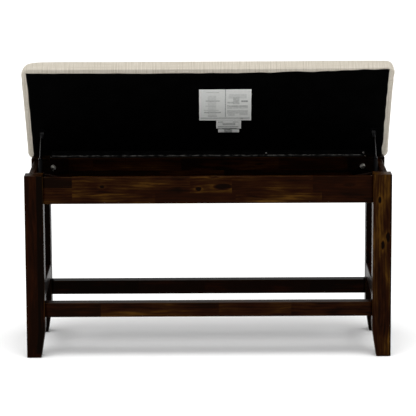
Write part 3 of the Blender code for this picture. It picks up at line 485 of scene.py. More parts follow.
def moulded_nylon():
    """Moulded black nylon: matt, with the fine grain of a spark-eroded mould."""
    stops = ((0.3, linear("0b0b0c")), (0.7, linear("1a1a1b")))
    return grained("moulded_nylon", stops, 1200.0, 3.0, relief=0.05 * MM, Roughness=0.5,
                   Specular_IOR_Level=0.2)


def matt_floor_paint():
    """Off-white matt floor paint, rolled on: a flat tone with the faintest patches."""
    look = bpy.context.scene.bench_stage
    stops = ((0.3, shaded(look.floor, 0.99)), (0.7, tuple(look.floor)))
    return grained("matt_floor_paint", stops, 3.0, 3.0, Roughness=0.9, Specular_IOR_Level=0.05)


# ---------------------------------------------------------------- mesh helpers
def finish_piece(name, bm, material, body, slot, node=None, on_lid=False):
    """Turns a bmesh into a named piece with its finish, on its body, and standing for a CAD node."""
    bmesh.ops.recalc_face_normals(bm, faces=bm.faces)
    mesh = bpy.data.meshes.new(name)
    bm.to_mesh(mesh)
    bm.free()
    if on_lid:
        mesh.transform(LID_PLACE)
    mesh.shade_smooth()
    mesh.materials.append(material)
    piece = bpy.data.objects.new(name, mesh)
    bpy.context.collection.objects.link(piece)
    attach(piece, body)
    if node:
        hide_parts(node)
    return piece


def dress_nodes(names, material, easing=0.0):
    """Gives CAD nodes a finish and eases their hard edges by a modifier."""
    for name in names:
        node = frame["nodes"][name]
        node.data.materials.clear()
        node.data.materials.append(material)
        weld = node.modifiers.new("weld", "WELD")
        weld.merge_threshold = 0.01 * MM
        if easing:
            bevel = node.modifiers.new("easing", "BEVEL")
            bevel.width = easing
            bevel.segments = 2
            bevel.limit_method = "ANGLE"
            bevel.angle_limit = math.radians(50)
            bevel.harden_normals = True


def add_skin(bm, rings, ends=True):
    """Joins rings of points into a skin, with a face over each end or else back to the first ring."""
    count = len(rings[0])
    for lower, upper in zip(rings, rings[1:] + ([] if ends else rings[:1])):
        for i in range(count):
            after = (i + 1) % count
            bm.faces.new((lower[i], lower[after], upper[after], upper[i]))
    if ends:
        bm.faces.new(list(reversed(rings[0])))
        bm.faces.new(rings[-1])


def add_turned(bm, start, axis, profile, steps=24, solid=True):
    """Adds a turned solid, or a ring. Profile points are (distance along the axis, radius)."""
    turn = Vector((0, 0, 1)).rotation_difference(axis.normalized()).to_matrix()
    angles = [math.tau * step / steps for step in range(steps)]
    rings = [[bm.verts.new(start + turn @ Vector((radius * math.cos(angle), radius * math.sin(angle), run)))
              for angle in angles] for run, radius in profile]
    add_skin(bm, rings, ends=solid)


def add_screw(bm, point, axis, radius, proud=0.7 * MM):
    """Adds a countersunk screw's head, domed, with a driver recess in its middle."""
    profile = ((-1.2 * MM, 0.45 * radius), (0.0, 0.92 * radius), (0.35 * proud, radius),
               (0.8 * proud, 0.86 * radius), (proud, 0.5 * radius), (0.9 * proud, 0.42 * radius),
               (0.1 * proud, 0.16 * radius))
    add_turned(bm, point, axis, profile)


def set_vectors(bm, name, values):
    """Stores one vector for each vertex."""
    layer = bm.verts.layers.float_vector.new(name)
    for vert, value in zip(bm.verts, values):
        vert[layer] = value


# ---------------------------------------------------------------- timber
ARC_STEPS = 4
FLAT_STEP = 12 * MM             # between the section's points on a flat
STATION_STEP = 12 * MM          # between sections along a bar
SUPPORT = 0.8 * MM              # from an arris to the first line on the flat


def flat_shares(length, cuts):
    """Returns where a flat is divided, as shares of it, with a line close to each end and at each cut."""
    count = max(2, round(length / FLAT_STEP))
    near = SUPPORT / length
    shares = [near] + [i / count for i in range(1, count)] + [1 - near]
    kept = [share for share in shares if all(abs(share - cut) > 0.5 / count for cut in cuts)]
    return sorted(kept + list(cuts))


def bar_section(width, depth, radius, cuts):
    """Returns a section's points: share across, share through, offset across, offset through, and wear."""
    across = flat_shares(width - 2 * radius, cuts)
    through = flat_shares(depth - 2 * radius, ())
    flats = ([(share, 1) for share in reversed(across)], [(0, share) for share in reversed(through)],
             [(share, 0) for share in across], [(1, share) for share in through])
    points = []
    for corner, (side_w, side_t) in enumerate(((1, 1), (0, 1), (0, 0), (1, 0))):
        for step in range(ARC_STEPS + 1):
            angle = math.pi / 2 * (corner + step / ARC_STEPS)
            wear = math.sin(math.pi * step / ARC_STEPS)
            points.append((side_w, side_t, radius * math.cos(angle), radius * math.sin(angle), wear))
        middle = math.pi / 2 * (corner + 1)
        for share_w, share_t in flats[corner]:
            points.append((share_w, share_t, radius * math.cos(middle), radius * math.sin(middle), 0.0))
    return points


def bar_stations(start, end, joints, radius, rounded):
    """Returns where a bar's sections stand: place along the bar and how far each is drawn in."""
    count = round((end - start) / STATION_STEP)
    places = [start + (end - start) * i / count for i in range(count + 1)]
    for joint in joints:
        nearest = min(range(1, count), key=lambda i: abs(places[i] - joint))
        places[nearest] = joint
    stations = [(place, 0.0) for place in places]
    turns = [math.pi / 2 * i / ARC_STEPS for i in range(ARC_STEPS + 1)]
    cap = [(radius * (1 - math.cos(turn)), radius * (0.95 - 0.95 * math.sin(turn))) for turn in turns]
    cap.append((radius + SUPPORT, 0.0))
    room = radius + 3 * SUPPORT
    if rounded[0]:
        stations = [(start + run, drawn) for run, drawn in cap] + [s for s in stations if s[0] > start + room]
    if rounded[1]:
        stations = [s for s in stations if s[0] < end - room]
        stations += [(end - run, drawn) for run, drawn in reversed(cap)]
    return stations


def add_bar(name, axes, low, high, surface, staves, taper=None, rounded=(False, False)):
    """Makes one timber piece as sections along a bar, worn at its arrises, with each stave marked.

    axes are the numbers of the axes along, across and through the bar. staves are (start, end, low,
    high, tone, redness), along and across; the first that holds a face marks it. taper is (up to where,
    depth, side across, side through) for a leg's foot.
    """
    look = bpy.context.scene.bench_timber
    length, wide, thick = axes
    radius = look.arris
    seed = (sum(ord(letter) * (i + 3) for i, letter in enumerate(name)) % 89) / 7
    joints = sorted({edge for stave in staves for edge in stave[:2] if low[length] < edge < high[length]})
    flat = high[wide] - low[wide] - 2 * radius
    glue = sorted({(edge - low[wide] - radius) / flat for stave in staves for edge in stave[2:4]
                   if low[wide] < edge < high[wide]})
    section = bar_section(high[wide] - low[wide], high[thick] - low[thick], radius, glue)
    stations = bar_stations(low[length], high[length], joints, radius, rounded)
    bm = bmesh.new()
    rings, grain, wear = [], [], []
    for place, drawn in stations:
        near, far = [low[wide], low[thick]], [high[wide], high[thick]]
        if taper and place < taper[0]:
            cut = taper[1] * (taper[0] - place) / (taper[0] - low[length])
            for way in (0, 1):
                if taper[2 + way] > 0:
                    far[way] -= cut
                else:
                    near[way] += cut
        ring = []
        for share_w, share_t, off_w, off_t, arris in section:
            shrink = 1 - drawn / radius
            spot = Vector((0, 0, 0))
            spot[length] = place
            spot[wide] = near[0] + radius + share_w * (far[0] - near[0] - 2 * radius) + off_w * shrink
            spot[thick] = near[1] + radius + share_t * (far[1] - near[1] - 2 * radius) + off_t * shrink
            rub = max(0.0, 0.5 + noise.noise(spot * 23) + 0.5 * noise.noise(spot * 140)) * arris
            spot[wide] -= math.copysign(look.wear * rub, off_w) if arris else 0.0
            spot[thick] -= math.copysign(look.wear * rub, off_t) if arris else 0.0
            ring.append(bm.verts.new(spot))
            grain.append(Vector((spot[length], spot[wide], spot[thick])))
            wear.append(min(1.0, rub))
        rings.append(ring)
    add_skin(bm, rings)
    set_vectors(bm, "grain", grain)
    rubbed = bm.verts.layers.float.new("worn")
    for vert, share in zip(bm.verts, wear):
        vert[rubbed] = share
    mark = bm.faces.layers.float_vector.new("stave")
    for face in bm.faces:
        middle = face.calc_center_median()
        number, stave = next((i, s) for i, s in enumerate(staves)
                             if s[0] <= middle[length] <= s[1] and s[2] <= middle[wide] <= s[3])
        face[mark] = Vector((stave[4], stave[5], seed + 1.37 * number))
    finish_piece(name.replace("_", "-"), bm, surface, "root", "wood_lacquer", node=name)


def plain_staves(name, low, high, rows, shift=0.0):
    """Returns staves laid at random lengths in rows, with tones about a middle one."""
    dice = random.Random(name)
    staves = []
    for row in range(rows):
        bottom = low[1] + (high[1] - low[1]) * row / rows
        top = low[1] + (high[1] - low[1]) * (row + 1) / rows
        start = low[0] - 1.0
        joint = low[0] + dice.uniform(0.08, 0.30)
        while start < high[0]:
            staves.append((start, joint, bottom - (1 if row == 0 else 0), top + (1 if row == rows - 1 else 0),
                           shift + dice.uniform(-0.5, 0.5), dice.uniform(0.0, 0.45)))
            start = joint
            joint += dice.uniform(0.20, 0.38)
    return staves


FAR = 9.0                       # past every edge
# The front apron's staves: from and to along it, from and to up it, tone and redness.
FRONT_APRON_STAVES = (
    (-FAR, -0.4135, 0.5300, FAR, -1.1, 0.15), (-FAR, -0.4135, -FAR, 0.5300, 0.35, 0.05),
    (-0.4135, -0.0551, 0.5120, FAR, 0.15, 0.10),
    (-0.0551, 0.0720, 0.5120, FAR, 0.25, 0.10), (0.0720, 0.3184, 0.5120, FAR, 0.05, 0.40),
    (0.3184, FAR, 0.5120, FAR, -0.65, 0.50),
    (-0.4135, -0.1616, -FAR, 0.5120, 0.30, 0.05), (-0.1616, 0.0841, -FAR, 0.5120, -0.45, 0.60),
    (0.0841, 0.3459, -FAR, 0.5120, 0.45, 0.0), (0.3459, FAR, -FAR, 0.5120, -0.55, 0.20),
)
# Knots: centre, and half size along each axis.
FRONT_APRON_KNOTS = (
    ((-0.3229, -0.208, 0.5331), (0.0075, 0.010, 0.0045)),
    ((-0.0295, -0.208, 0.5246), (0.0090, 0.010, 0.0060)),
)
RIGHT_LEG_KNOTS = (
    ((0.5476, -0.213, 0.3747), (0.0060, 0.030, 0.0130)), ((0.5326, -0.213, 0.3498), (0.0050, 0.030, 0.0140)),
    ((0.5222, -0.213, 0.4895), (0.0045, 0.030, 0.0110)),
)
LEG_TAPER = (88 * MM, 13 * MM)  # height and depth of the taper at a foot
FOOT_GAP = 1.2 * MM             # what shows of a glide under its leg


class BENCH_OT_timber(bpy.types.Operator):
    """Makes the legs, aprons and stretchers in stained, lacquered acacia"""
    bl_idname = "bench.timber"
    bl_label = "Timber frame"

    def execute(self, context):
        common = stained_acacia("lacquered_acacia")
        # Each leg is two staves: the seam's share across, the left one's tone and redness, the right's tone.
        # Both rear legs get tones far darker than the wood's own, as painted shade on the legs at the back.
        stave_tones_and_rear_shade = {"front_left": (0.64, -0.35, 0.35, -1.3), "front_right": (0.92, 0.40, 0.05, -1.0),
                       "rear_left": (0.5, -1.2, 0.1, -1.3), "rear_right": (0.5, -1.2, 0.1, -1.3)}
        legs = {}
        for corner in CORNERS:
            name = f"leg_{corner}"
            low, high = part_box(name)
            low.z = FOOT_GAP
            legs[corner] = (low, high)
            share, left, red, right = stave_tones_and_rear_shade[corner]
            seam = low.x + share * (high.x - low.x)
            staves = ((-FAR, FAR, -FAR, seam, left, red), (-FAR, FAR, seam, FAR, right, 0.0))
            inward = (1 if "left" in corner else -1, 1 if "front" in corner else -1)
            surface = common
            if corner == "front_right":
                surface = stained_acacia("lacquered_acacia_knotty_leg", RIGHT_LEG_KNOTS)
            add_bar(name, (2, 0, 1), low, high, surface, staves, (*LEG_TAPER, *inward), (True, True))
        inner_x, inner_front = legs["front_right"][0].x, legs["front_left"][1].y
        inner_rear = legs["rear_left"][0].y
        apron_wood = stained_acacia("lacquered_acacia_front_apron", FRONT_APRON_KNOTS)
        for kind in ("apron", "stretcher"):
            for side in SIDES:
                name = f"{kind}_{side}"
                low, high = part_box(name)
                if side in ("front", "rear"):
                    axes = (0, 2, 1)
                    low.x, high.x = -inner_x, inner_x
                else:
                    axes = (1, 2, 0)
                    low.y, high.y = inner_front, inner_rear
                rows = 2 if kind == "apron" else 1
                shift = -0.25 if side == "front" else -0.75
                staves = plain_staves(name, (low[axes[0]], low[2]), (high[axes[0]], high[2]), rows, shift)
                surface = common
                if name == "apron_front":
                    staves, surface = FRONT_APRON_STAVES, apron_wood
                add_bar(name, axes, low, high, surface, staves)
        return {"FINISHED"}


# ---------------------------------------------------------------- storage box and its fixings
class BENCH_OT_storage_box(bpy.types.Operator):
    """Finishes the box floor, the cleats and the corner blocks in stained plywood"""
    bl_idname = "bench.storage_box"
    bl_label = "Storage box"

    def execute(self, context):
        names = ["box_floor"] + [f"cleat_{side}" for side in SIDES] + [f"corner_block_{c}" for c in CORNERS]
        dress_nodes(names, stained_plywood(), easing=0.6 * MM)
        return {"FINISHED"}


class BENCH_OT_fixings(bpy.types.Operator):
    """Finishes the hanger bolts, nuts and washers in zinc plate and the glides in nylon"""
    bl_idname = "bench.fixings"
    bl_label = "Bolts and glides"

    def execute(self, context):
        metal = zinc_plate()
        dress_nodes([f"hanger_bolt_{corner}" for corner in CORNERS], metal, easing=0.3 * MM)
        dress_nodes([f"nut_{corner}" for corner in CORNERS], metal, easing=0.5 * MM)
        dress_nodes([f"washer_{corner}" for corner in CORNERS], metal, easing=0.2 * MM)
        nylon = moulded_nylon()
        for corner in CORNERS:
            low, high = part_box(f"glide_{corner}")
            radius = (high.x - low.x) / 2
            middle = Vector(((low.x + high.x) / 2, (low.y + high.y) / 2, 0.0))
            bm = bmesh.new()
            profile = ((0.0, 0.82 * radius), (0.15 * MM, 0.93 * radius), (0.5 * MM, radius),
                       (FOOT_GAP, radius))
            add_turned(bm, middle, Vector((0, 0, 1)), profile, steps=32)
            name = f"glide_{corner}"
            finish_piece(name.replace("_", "-"), bm, nylon, "root", "nylon", node=name)
        return {"FINISHED"}


BRIGHT_SCREWS = (0.185, 0.494)  # along the hinge from its middle
SCREW_END = 12 * MM             # from the hinge's end to its first screw
SCREW_IN = (7 * MM, 11 * MM)    # from the front edge of the frame's leaf and of the lid's leaf
SCREW_SUNK = 0.8 * MM


class BENCH_OT_hinge(bpy.types.Operator):
    """Finishes the piano hinge and adds its countersunk screws"""
    bl_idname = "bench.hinge"
    bl_label = "Piano hinge"

    def execute(self, context):
        look = context.scene.bench_fittings
        enamel, metal = black_enamel(), zinc_plate()
        dress_nodes(("hinge_leaf_frame", "hinge_leaf_lid"), rubbed_hinge_black())
        dress_nodes(("hinge_pin",), metal)
        low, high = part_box("hinge_leaf_frame")
        row = high.x - low.x - 2 * SCREW_END
        count = int(row / look.screw_pitch)
        places = [low.x + SCREW_END + row * i / count for i in range(count + 1)]
        bm = bmesh.new()
        for x in places:
            middle = Vector((x, low.y + SCREW_IN[0], low.z + SCREW_SUNK))
            add_screw(bm, middle, Vector((0, 0, 1)), look.screw_head)
        finish_piece("hinge-screws-frame", bm, enamel, "root", "black_metal")
        low, high = closed_box("hinge_leaf_lid")
        # Two of the black screws have been changed for bright ones.
        bright = [min(places, key=lambda x: abs(x - want)) for want in BRIGHT_SCREWS]
        dark = [x for x in places if x not in bright]
        for name, row, surface, slot, proud in (("dark", dark, enamel, "black_metal", 0.7 * MM),
                                                ("bright", BRIGHT_SCREWS, metal, "zinc", 1.7 * MM)):
            bm = bmesh.new()
            for x in row:
                middle = Vector((x, low.y + SCREW_IN[1], high.z - SCREW_SUNK))
                add_screw(bm, middle, Vector((0, 0, -1)), look.screw_head, proud)
            finish_piece(f"hinge-screws-lid-{name}", bm, surface, "lid", slot, on_lid=True)
        return {"FINISHED"}


COLLAR_LENGTH = 5 * MM          # the ground ring on the end of each tube
COLLAR_PROUD = 0.3 * MM
COLLAR_LIFT = 0.1 * MM          # past the tube's end
ROD_GAP = 0.15 * MM             # between the ring and the rod


class BENCH_OT_stays(bpy.types.Operator):
    """Finishes the gas stays: enamelled tubes and brackets, nitrided rods and nylon sockets"""
    bl_idname = "bench.stays"
    bl_label = "Gas stays"

    def execute(self, context):
        ends = ("left", "right")
        dress_nodes([f"stay_tube_{end}" for end in ends], black_enamel(), easing=0.8 * MM)
        brackets = [f"stay_{place}_bracket_{end}" for place in ("foot", "lid") for end in ends]
        dress_nodes(brackets, black_enamel(), easing=0.3 * MM)
        ground = nitrided_steel()
        dress_nodes([f"stay_rod_{end}" for end in ends], ground, easing=0.2 * MM)
        dress_nodes([f"stay_socket_{end}" for end in ends], moulded_nylon(), easing=0.3 * MM)
        for end in ends:
            tube = [vert.co for vert in frame["nodes"][f"stay_tube_{end}"].data.vertices]
            rod = [vert.co for vert in frame["nodes"][f"stay_rod_{end}"].data.vertices]
            low, high = min(rod, key=lambda p: p.z), max(rod, key=lambda p: p.z)
            axis = Vector((0, high.y - low.y, high.z - low.z)).normalized()
            x = sum(p.x for p in rod) / len(rod)
            tip = max(tube, key=lambda p: p.dot(axis))
            rim = [p for p in tube if (p - tip).dot(axis) > -0.5 * MM]
            middle = sum(rim, Vector()) / len(rim)
            radius = max((p - middle).length for p in rim)
            bore = max(abs(p.x - x) for p in rod) + ROD_GAP
            bm = bmesh.new()
            profile = ((0.0, bore), (0.0, radius), (0.6 * MM, radius + COLLAR_PROUD),
                       (COLLAR_LENGTH - 0.6 * MM, radius + COLLAR_PROUD),
                       (COLLAR_LENGTH, radius - 0.4 * MM), (COLLAR_LENGTH, bore))
            add_turned(bm, middle + COLLAR_LIFT * axis, axis, profile, solid=False)
            finish_piece(f"stay-collar-{end}", bm, ground, f"stay_tube_{end}", "nitrided")
        return {"FINISHED"}


# ---------------------------------------------------------------- padded lid
SIM_FRAMES = 20                 # enough for the cover to fill and settle
COVER_GRID = 7.5 * MM           # between the cover's points before it is subdivided
TOP_EDGE = 15 * MM              # rounding where the top turns down
LOW_EDGE = 4 * MM               # rounding where the side turns under
CORNER_ROUND = 24 * MM          # rounding of the corners, from above
COVER_THICKNESS = 1.2 * MM
COVER_BULGE = 1.2 * MM          # how far the cover's sides stand out between top and bottom
REAR_REACH = 3 * MM             # how far the cover reaches past its CAD solid at the rear
FOLD_UNDER = 50 * MM            # how far the cover is folded in under the board
GIVE_LENGTH = 64 * MM           # how far from its ends the foam gives way at a corner
GIVE_WIDTH = 90 * MM            # how far from its long edges it does
GIVE_IN = 13 * MM               # how far its sides are drawn in there
GIVE_DOWN = 11 * MM             # how far its top slopes off there
CROWN_DEPTH = 20 * MM           # how far down from the top the crown is shaped
STAPLE_PULL = 25 * MM           # how far up the side a staple draws the cloth
STAPLE_PITCH = 17 * MM
FOAM_IN = (5 * MM, 6 * MM)      # the foam is this much smaller than its solid: ends and rear, front and top
BOARD_IN = 9 * MM               # how much smaller the board is, so that its edge stays under the cloth


def rounded_plan(half_x, low_y, high_y, radius, steps=10, step=12 * MM):
    """Returns a rounded rectangle's outline, counter-clockwise, with points along its sides."""
    corners = ((half_x, high_y, 0), (-half_x, high_y, 1), (-half_x, low_y, 2), (half_x, low_y, 3))
    outline = []
    for x, y, quarter in corners:
        centre = Vector((x - math.copysign(radius, x), y - radius if quarter < 2 else y + radius))
        for i in range(steps + 1):
            angle = math.pi / 2 * (quarter + i / steps)
            outline.append(centre + radius * Vector((math.cos(angle), math.sin(angle))))
    filled = []
    for here, after in zip(outline, outline[1:] + outline[:1]):
        count = max(1, round((after - here).length / step))
        filled += [here.lerp(after, i / count) for i in range(count)]
    return filled


def inset_outline(outline, inset, corner):
    """Draws an outline in square to its edge, or clamps it to a smaller box past its corners' radius."""
    if inset < corner:
        amount = min(inset, 0.9 * corner)
        neighbours = zip(outline[-1:] + outline[:-1], outline[1:] + outline[:1])
        tangents = [after - before for before, after in neighbours]
        return [point + amount * Vector((-t.y, t.x)).normalized() for point, t in zip(outline, tangents)]
    low = [min(point[i] for point in outline) + inset for i in (0, 1)]
    high = [max(point[i] for point in outline) - inset for i in (0, 1)]
    return [Vector([min(max(point[i], low[i]), high[i]) for i in (0, 1)]) for point in outline]


def padded_block(half_x, low_y, high_y, bottom, top, corner, top_edge, low_edge, bulge):
    """Makes a closed block whose edges are rounded and whose sides bulge, as a bmesh."""
    outline = rounded_plan(half_x, low_y, high_y, corner)
    rows = [(low_edge + 60 * MM, bottom), (low_edge + 20 * MM, bottom)]
    for i in range(5):
        turn = math.pi / 2 * i / 4
        rows.append((low_edge * (1 - math.sin(turn)), bottom + low_edge * (1 - math.cos(turn))))
    for i in range(1, 5):
        height = bottom + low_edge + (top - top_edge - bottom - low_edge) * i / 5
        rows.append((-bulge * math.sin(math.pi * i / 5), height))
    for i in range(7):
        turn = math.pi / 2 * i / 6
        rows.append((top_edge * (1 - math.cos(turn)), top - top_edge * (1 - math.sin(turn))))
    rows += [(top_edge + 20 * MM, top), (top_edge + 60 * MM, top)]
    bm = bmesh.new()
    add_skin(bm, [[bm.verts.new((x, y, height)) for x, y in inset_outline(outline, inset, corner)]
                  for inset, height in rows])
    return bm


def voxel_skin(name, bm, size):
    """Turns a closed bmesh into an even skin of quads of about one size."""
    mesh = bpy.data.meshes.new(name)
    bm.to_mesh(mesh)
    bm.free()
    skin = bpy.data.objects.new(name, mesh)
    bpy.context.collection.objects.link(skin)
    remesh = skin.modifiers.new("even", "REMESH")
    remesh.mode = "VOXEL"
    remesh.voxel_size = size
    smooth = skin.modifiers.new("relax", "SMOOTH")
    smooth.factor = 0.5
    smooth.iterations = 2
    bake_modifiers(skin)
    return skin


def bake_modifiers(piece):
    """Fixes a piece's modifiers into its mesh."""
    depsgraph = bpy.context.evaluated_depsgraph_get()
    baked = bpy.data.meshes.new_from_object(piece.evaluated_get(depsgraph), depsgraph=depsgraph)
    piece.modifiers.clear()
    piece.data = baked


def stuff_cover(cover, bottom, limit):
    """Lets the cover swell and wrinkle over the foam as stuffed cloth, and limits how far it moves."""
    start = [vert.co.copy() for vert in cover.data.vertices]
    held = cover.vertex_groups.new(name="held")
    held.add([v.index for v in cover.data.vertices if v.co.z < bottom + 3 * MM], 1.0, "REPLACE")
    cloth = cover.modifiers.new("cloth", "CLOTH")
    cloth.settings.quality = 4
    cloth.settings.mass = 0.3
    cloth.settings.tension_stiffness = 12
    cloth.settings.compression_stiffness = 8
    cloth.settings.shear_stiffness = 4
    cloth.settings.bending_stiffness = 0.3
    cloth.settings.use_pressure = True
    cloth.settings.uniform_pressure_force = 4.0
    cloth.settings.effector_weights.gravity = 0.0
    cloth.settings.vertex_group_mass = "held"
    cloth.settings.shrink_min = -0.012
    cloth.collision_settings.use_collision = False
    cloth.collision_settings.use_self_collision = False
    cloth.point_cache.frame_start = 1
    cloth.point_cache.frame_end = SIM_FRAMES
    scene = bpy.context.scene
    for number in range(1, SIM_FRAMES + 1):
        scene.frame_set(number)
    bake_modifiers(cover)
    scene.frame_set(1)
    if len(cover.data.vertices) != len(start):
        raise RuntimeError("the stuffed cover lost points")
    for vert, place in zip(cover.data.vertices, start):
        move = vert.co - place
        vert.co = place + move * min(1.0, limit / max(move.length, 1e-9)) if move.length < 0.5 else place


def corner_give(place, low, high):
    """Returns how the foam gives way at the front corners, more on the left: down, in, and off the end."""
    middle = (low + high) / 2
    reach = (high - low) / 2
    height = max(0.0, (place.z - low.z) / reach.z / 2)
    end = min(1.0, max(0.0, (abs(place.x - middle.x) - reach.x) / GIVE_LENGTH + 1))
    edge = min(1.0, max(0.0, (abs(place.y - middle.y) - reach.y) / GIVE_WIDTH + 1))
    soft = (1.0 if place.x < middle.x else 0.25) * (1.0 if place.y < middle.y else 0.2)
    slope = soft * height * end ** 2 * edge
    return Vector((-math.copysign((1 + 5 * soft) * MM, place.x - middle.x) * edge ** 2 * end,
                   -math.copysign(GIVE_IN, place.y - middle.y) * slope, -GIVE_DOWN * slope))


def pull_cover(cover, low, high, crown):
    """Drops the top's edges below its crown and pulls in the puckers that the staples draw at the bottom."""
    middle = (low + high) / 2
    reach = (high - low) / 2
    normals = [vert.normal.copy() for vert in cover.data.vertices]
    for vert, normal in zip(cover.data.vertices, normals):
        place = vert.co.copy()
        share_x = min(1.0, abs(place.x - middle.x) / reach.x)
        share_y = min(1.0, abs(place.y - middle.y) / reach.y)
        vert.co += corner_give(place, low, high)
        if place.z > high.z - CROWN_DEPTH:
            dome = (1 - share_x ** 4) * (1 - share_y ** 4)
            vert.co.z += crown * (dome - 1) * ((place.z - high.z) / CROWN_DEPTH + 1)
        # The pull of each staple fades out up the side.
        rise = max(0.0, 1 - (place.z - low.z) / STAPLE_PULL)
        run = place.y if share_x > share_y else place.x
        corner = max(0.0, 1 - (1 - min(share_x, share_y)) / 0.16)
        ripple = math.sin(run * math.tau / STAPLE_PITCH + 3 * noise.noise(Vector((run * 9, 0, 0))))
        depth = (0.35 + 2.2 * corner) * MM * (0.6 + noise.noise(place * 14)) * rise
        inside = 1.0 if place.z > low.z + 1.5 * MM else 0.25
        vert.co -= normal * depth * (0.5 + 0.5 * ripple) * inside
        # The foam under the cloth is never quite even.
        vert.co -= normal * 0.8 * MM * (0.5 + 0.5 * noise.noise(place * 7)) * (1 - 0.8 * rise)


def cloth_places(points, low, high):
    """Returns where each point lies on the flat cloth before it was folded down the sides."""
    middle = (low + high) / 2
    places = []
    for point in points:
        near_x = high.x - abs(point.x - middle.x) - middle.x
        near_y = (high.y - low.y) / 2 - abs(point.y - middle.y)
        fold = max(0.0, high.z - point.z)
        if point.z < low.z + 1.5 * MM:
            fold += 2 * max(0.0, min(near_x, near_y))
        if near_x < near_y:
            places.append(Vector((point.x + math.copysign(fold, point.x - middle.x), point.y, 0.0)))
        else:
            places.append(Vector((point.x, point.y + math.copysign(fold, point.y - middle.y), 0.0)))
    return places


class BENCH_OT_cushion(bpy.types.Operator):
    """Makes the board, the foam pad and the linen cover that is pulled over both"""
    bl_idname = "bench.cushion"
    bl_label = "Cushion"

    def execute(self, context):
        look = context.scene.bench_lid
        low, high = closed_box("seat_cover")
        skin = padded_block(high.x, low.y, high.y + REAR_REACH, low.z, high.z, CORNER_ROUND, TOP_EDGE,
                            LOW_EDGE, COVER_BULGE)
        cover = voxel_skin("linen-cover", skin, COVER_GRID)
        stuff_cover(cover, low.z, look.swell)
        pull_cover(cover, low, high, look.crown)

        # Under the board the cloth stops where the dust cover hides its edge.
        bm = bmesh.new()
        bm.from_mesh(cover.data)
        tuck_x, tuck_low, tuck_high = high.x - FOLD_UNDER, low.y + FOLD_UNDER, high.y - FOLD_UNDER
        inside = [face for face in bm.faces if face.normal.z < -0.5
                  and all(abs(v.co.x) < tuck_x and tuck_low < v.co.y < tuck_high for v in face.verts)]
        bmesh.ops.delete(bm, geom=inside, context="FACES")
        bmesh.ops.recalc_face_normals(bm, faces=bm.faces)
        set_vectors(bm, "cloth", cloth_places([vert.co for vert in bm.verts], low, high))
        bm.to_mesh(cover.data)
        bm.free()
        cover.data.transform(LID_PLACE)
        cover.data.shade_smooth()
        cover.data.materials.append(oat_linen())
        thick = cover.modifiers.new("thickness", "SOLIDIFY")
        thick.thickness = COVER_THICKNESS
        thick.offset = -1
        smooth = cover.modifiers.new("smooth", "SUBSURF")
        smooth.levels = smooth.render_levels = 1
        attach(cover, "lid")
        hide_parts("seat_cover")

        low, high = closed_box("seat_foam")
        side, above = FOAM_IN
        block = padded_block(high.x - side, low.y + above, high.y - side, low.z, high.z - above,
                             CORNER_ROUND + 8 * MM, 18 * MM, 2 * MM, 0.5 * MM)
        middle = (low + high) / 2
        for vert in block.verts:
            end = abs(vert.co.x) / high.x
            edge = abs(vert.co.y - middle.y) / (high.y - middle.y)
            height = max(0.0, (vert.co.z - middle.z) / (high.z - middle.z))
            vert.co.z -= (2.5 * end ** 4 + 2.5 * edge ** 4) * MM * height
            vert.co += 1.25 * corner_give(vert.co.copy(), low, high)
        foam = finish_piece("foam-pad", block, seat_foam(), "lid", "foam", node="seat_foam", on_lid=True)

        low, high = closed_box("lid_board")
        panel = padded_block(high.x - BOARD_IN, low.y + BOARD_IN, high.y - BOARD_IN, low.z, high.z,
                             CORNER_ROUND, 1 * MM, 1 * MM, 0.0)
        finish_piece("lid-board", panel, birch_plywood(), "lid", "plywood", node="lid_board", on_lid=True)
        return {"FINISHED"}


# ---------------------------------------------------------------- dust cover and labels
def sag(x, y, low, high):
    """Returns how far the dust cover hangs below its height at the board, with slight ripples."""
    share_x = min(1.0, abs(x) / high.x)
    share_y = min(1.0, abs(2 * (y - low.y) / (high.y - low.y) - 1))
    hang = (1 - share_x ** 2) * (1 - share_y ** 2)
    ripple = noise.noise(Vector((x * 9, y * 13, 0.3)))
    return 1.0 * MM * hang * (0.8 + 0.4 * ripple) + 0.25 * MM * max(0.0, ripple) * hang


def sheet_grid(low, high, step, shape, height):
    """Makes a flat grid of cloth, with its outline bent by shape and its height given for each point."""
    columns = max(2, round((high.x - low.x) / step))
    rows = max(2, round((high.y - low.y) / step))
    bm = bmesh.new()
    grid = []
    flat = []
    for j in range(rows + 1):
        line = []
        for i in range(columns + 1):
            across, along = i / columns, j / rows
            x = low.x + (high.x - low.x) * across
            y = low.y + (high.y - low.y) * along
            x, y = shape(x, y, across, along)
            line.append(bm.verts.new((x, y, height(x, y))))
            flat.append(Vector((x, y, 0.0)))
        grid.append(line)
    for lower, upper in zip(grid, grid[1:]):
        for i in range(columns):
            bm.faces.new((lower[i], upper[i], upper[i + 1], lower[i + 1]))
    set_vectors(bm, "cloth", flat)
    return bm


def finish_sheet(name, bm, surface, slot, thickness, node=None):
    """Gives a sheet its thickness and its place on the lid."""
    piece = finish_piece(name, bm, surface, "lid", slot, node, on_lid=True)
    thick = piece.modifiers.new("thickness", "SOLIDIFY")
    thick.thickness = thickness
    thick.offset = 0


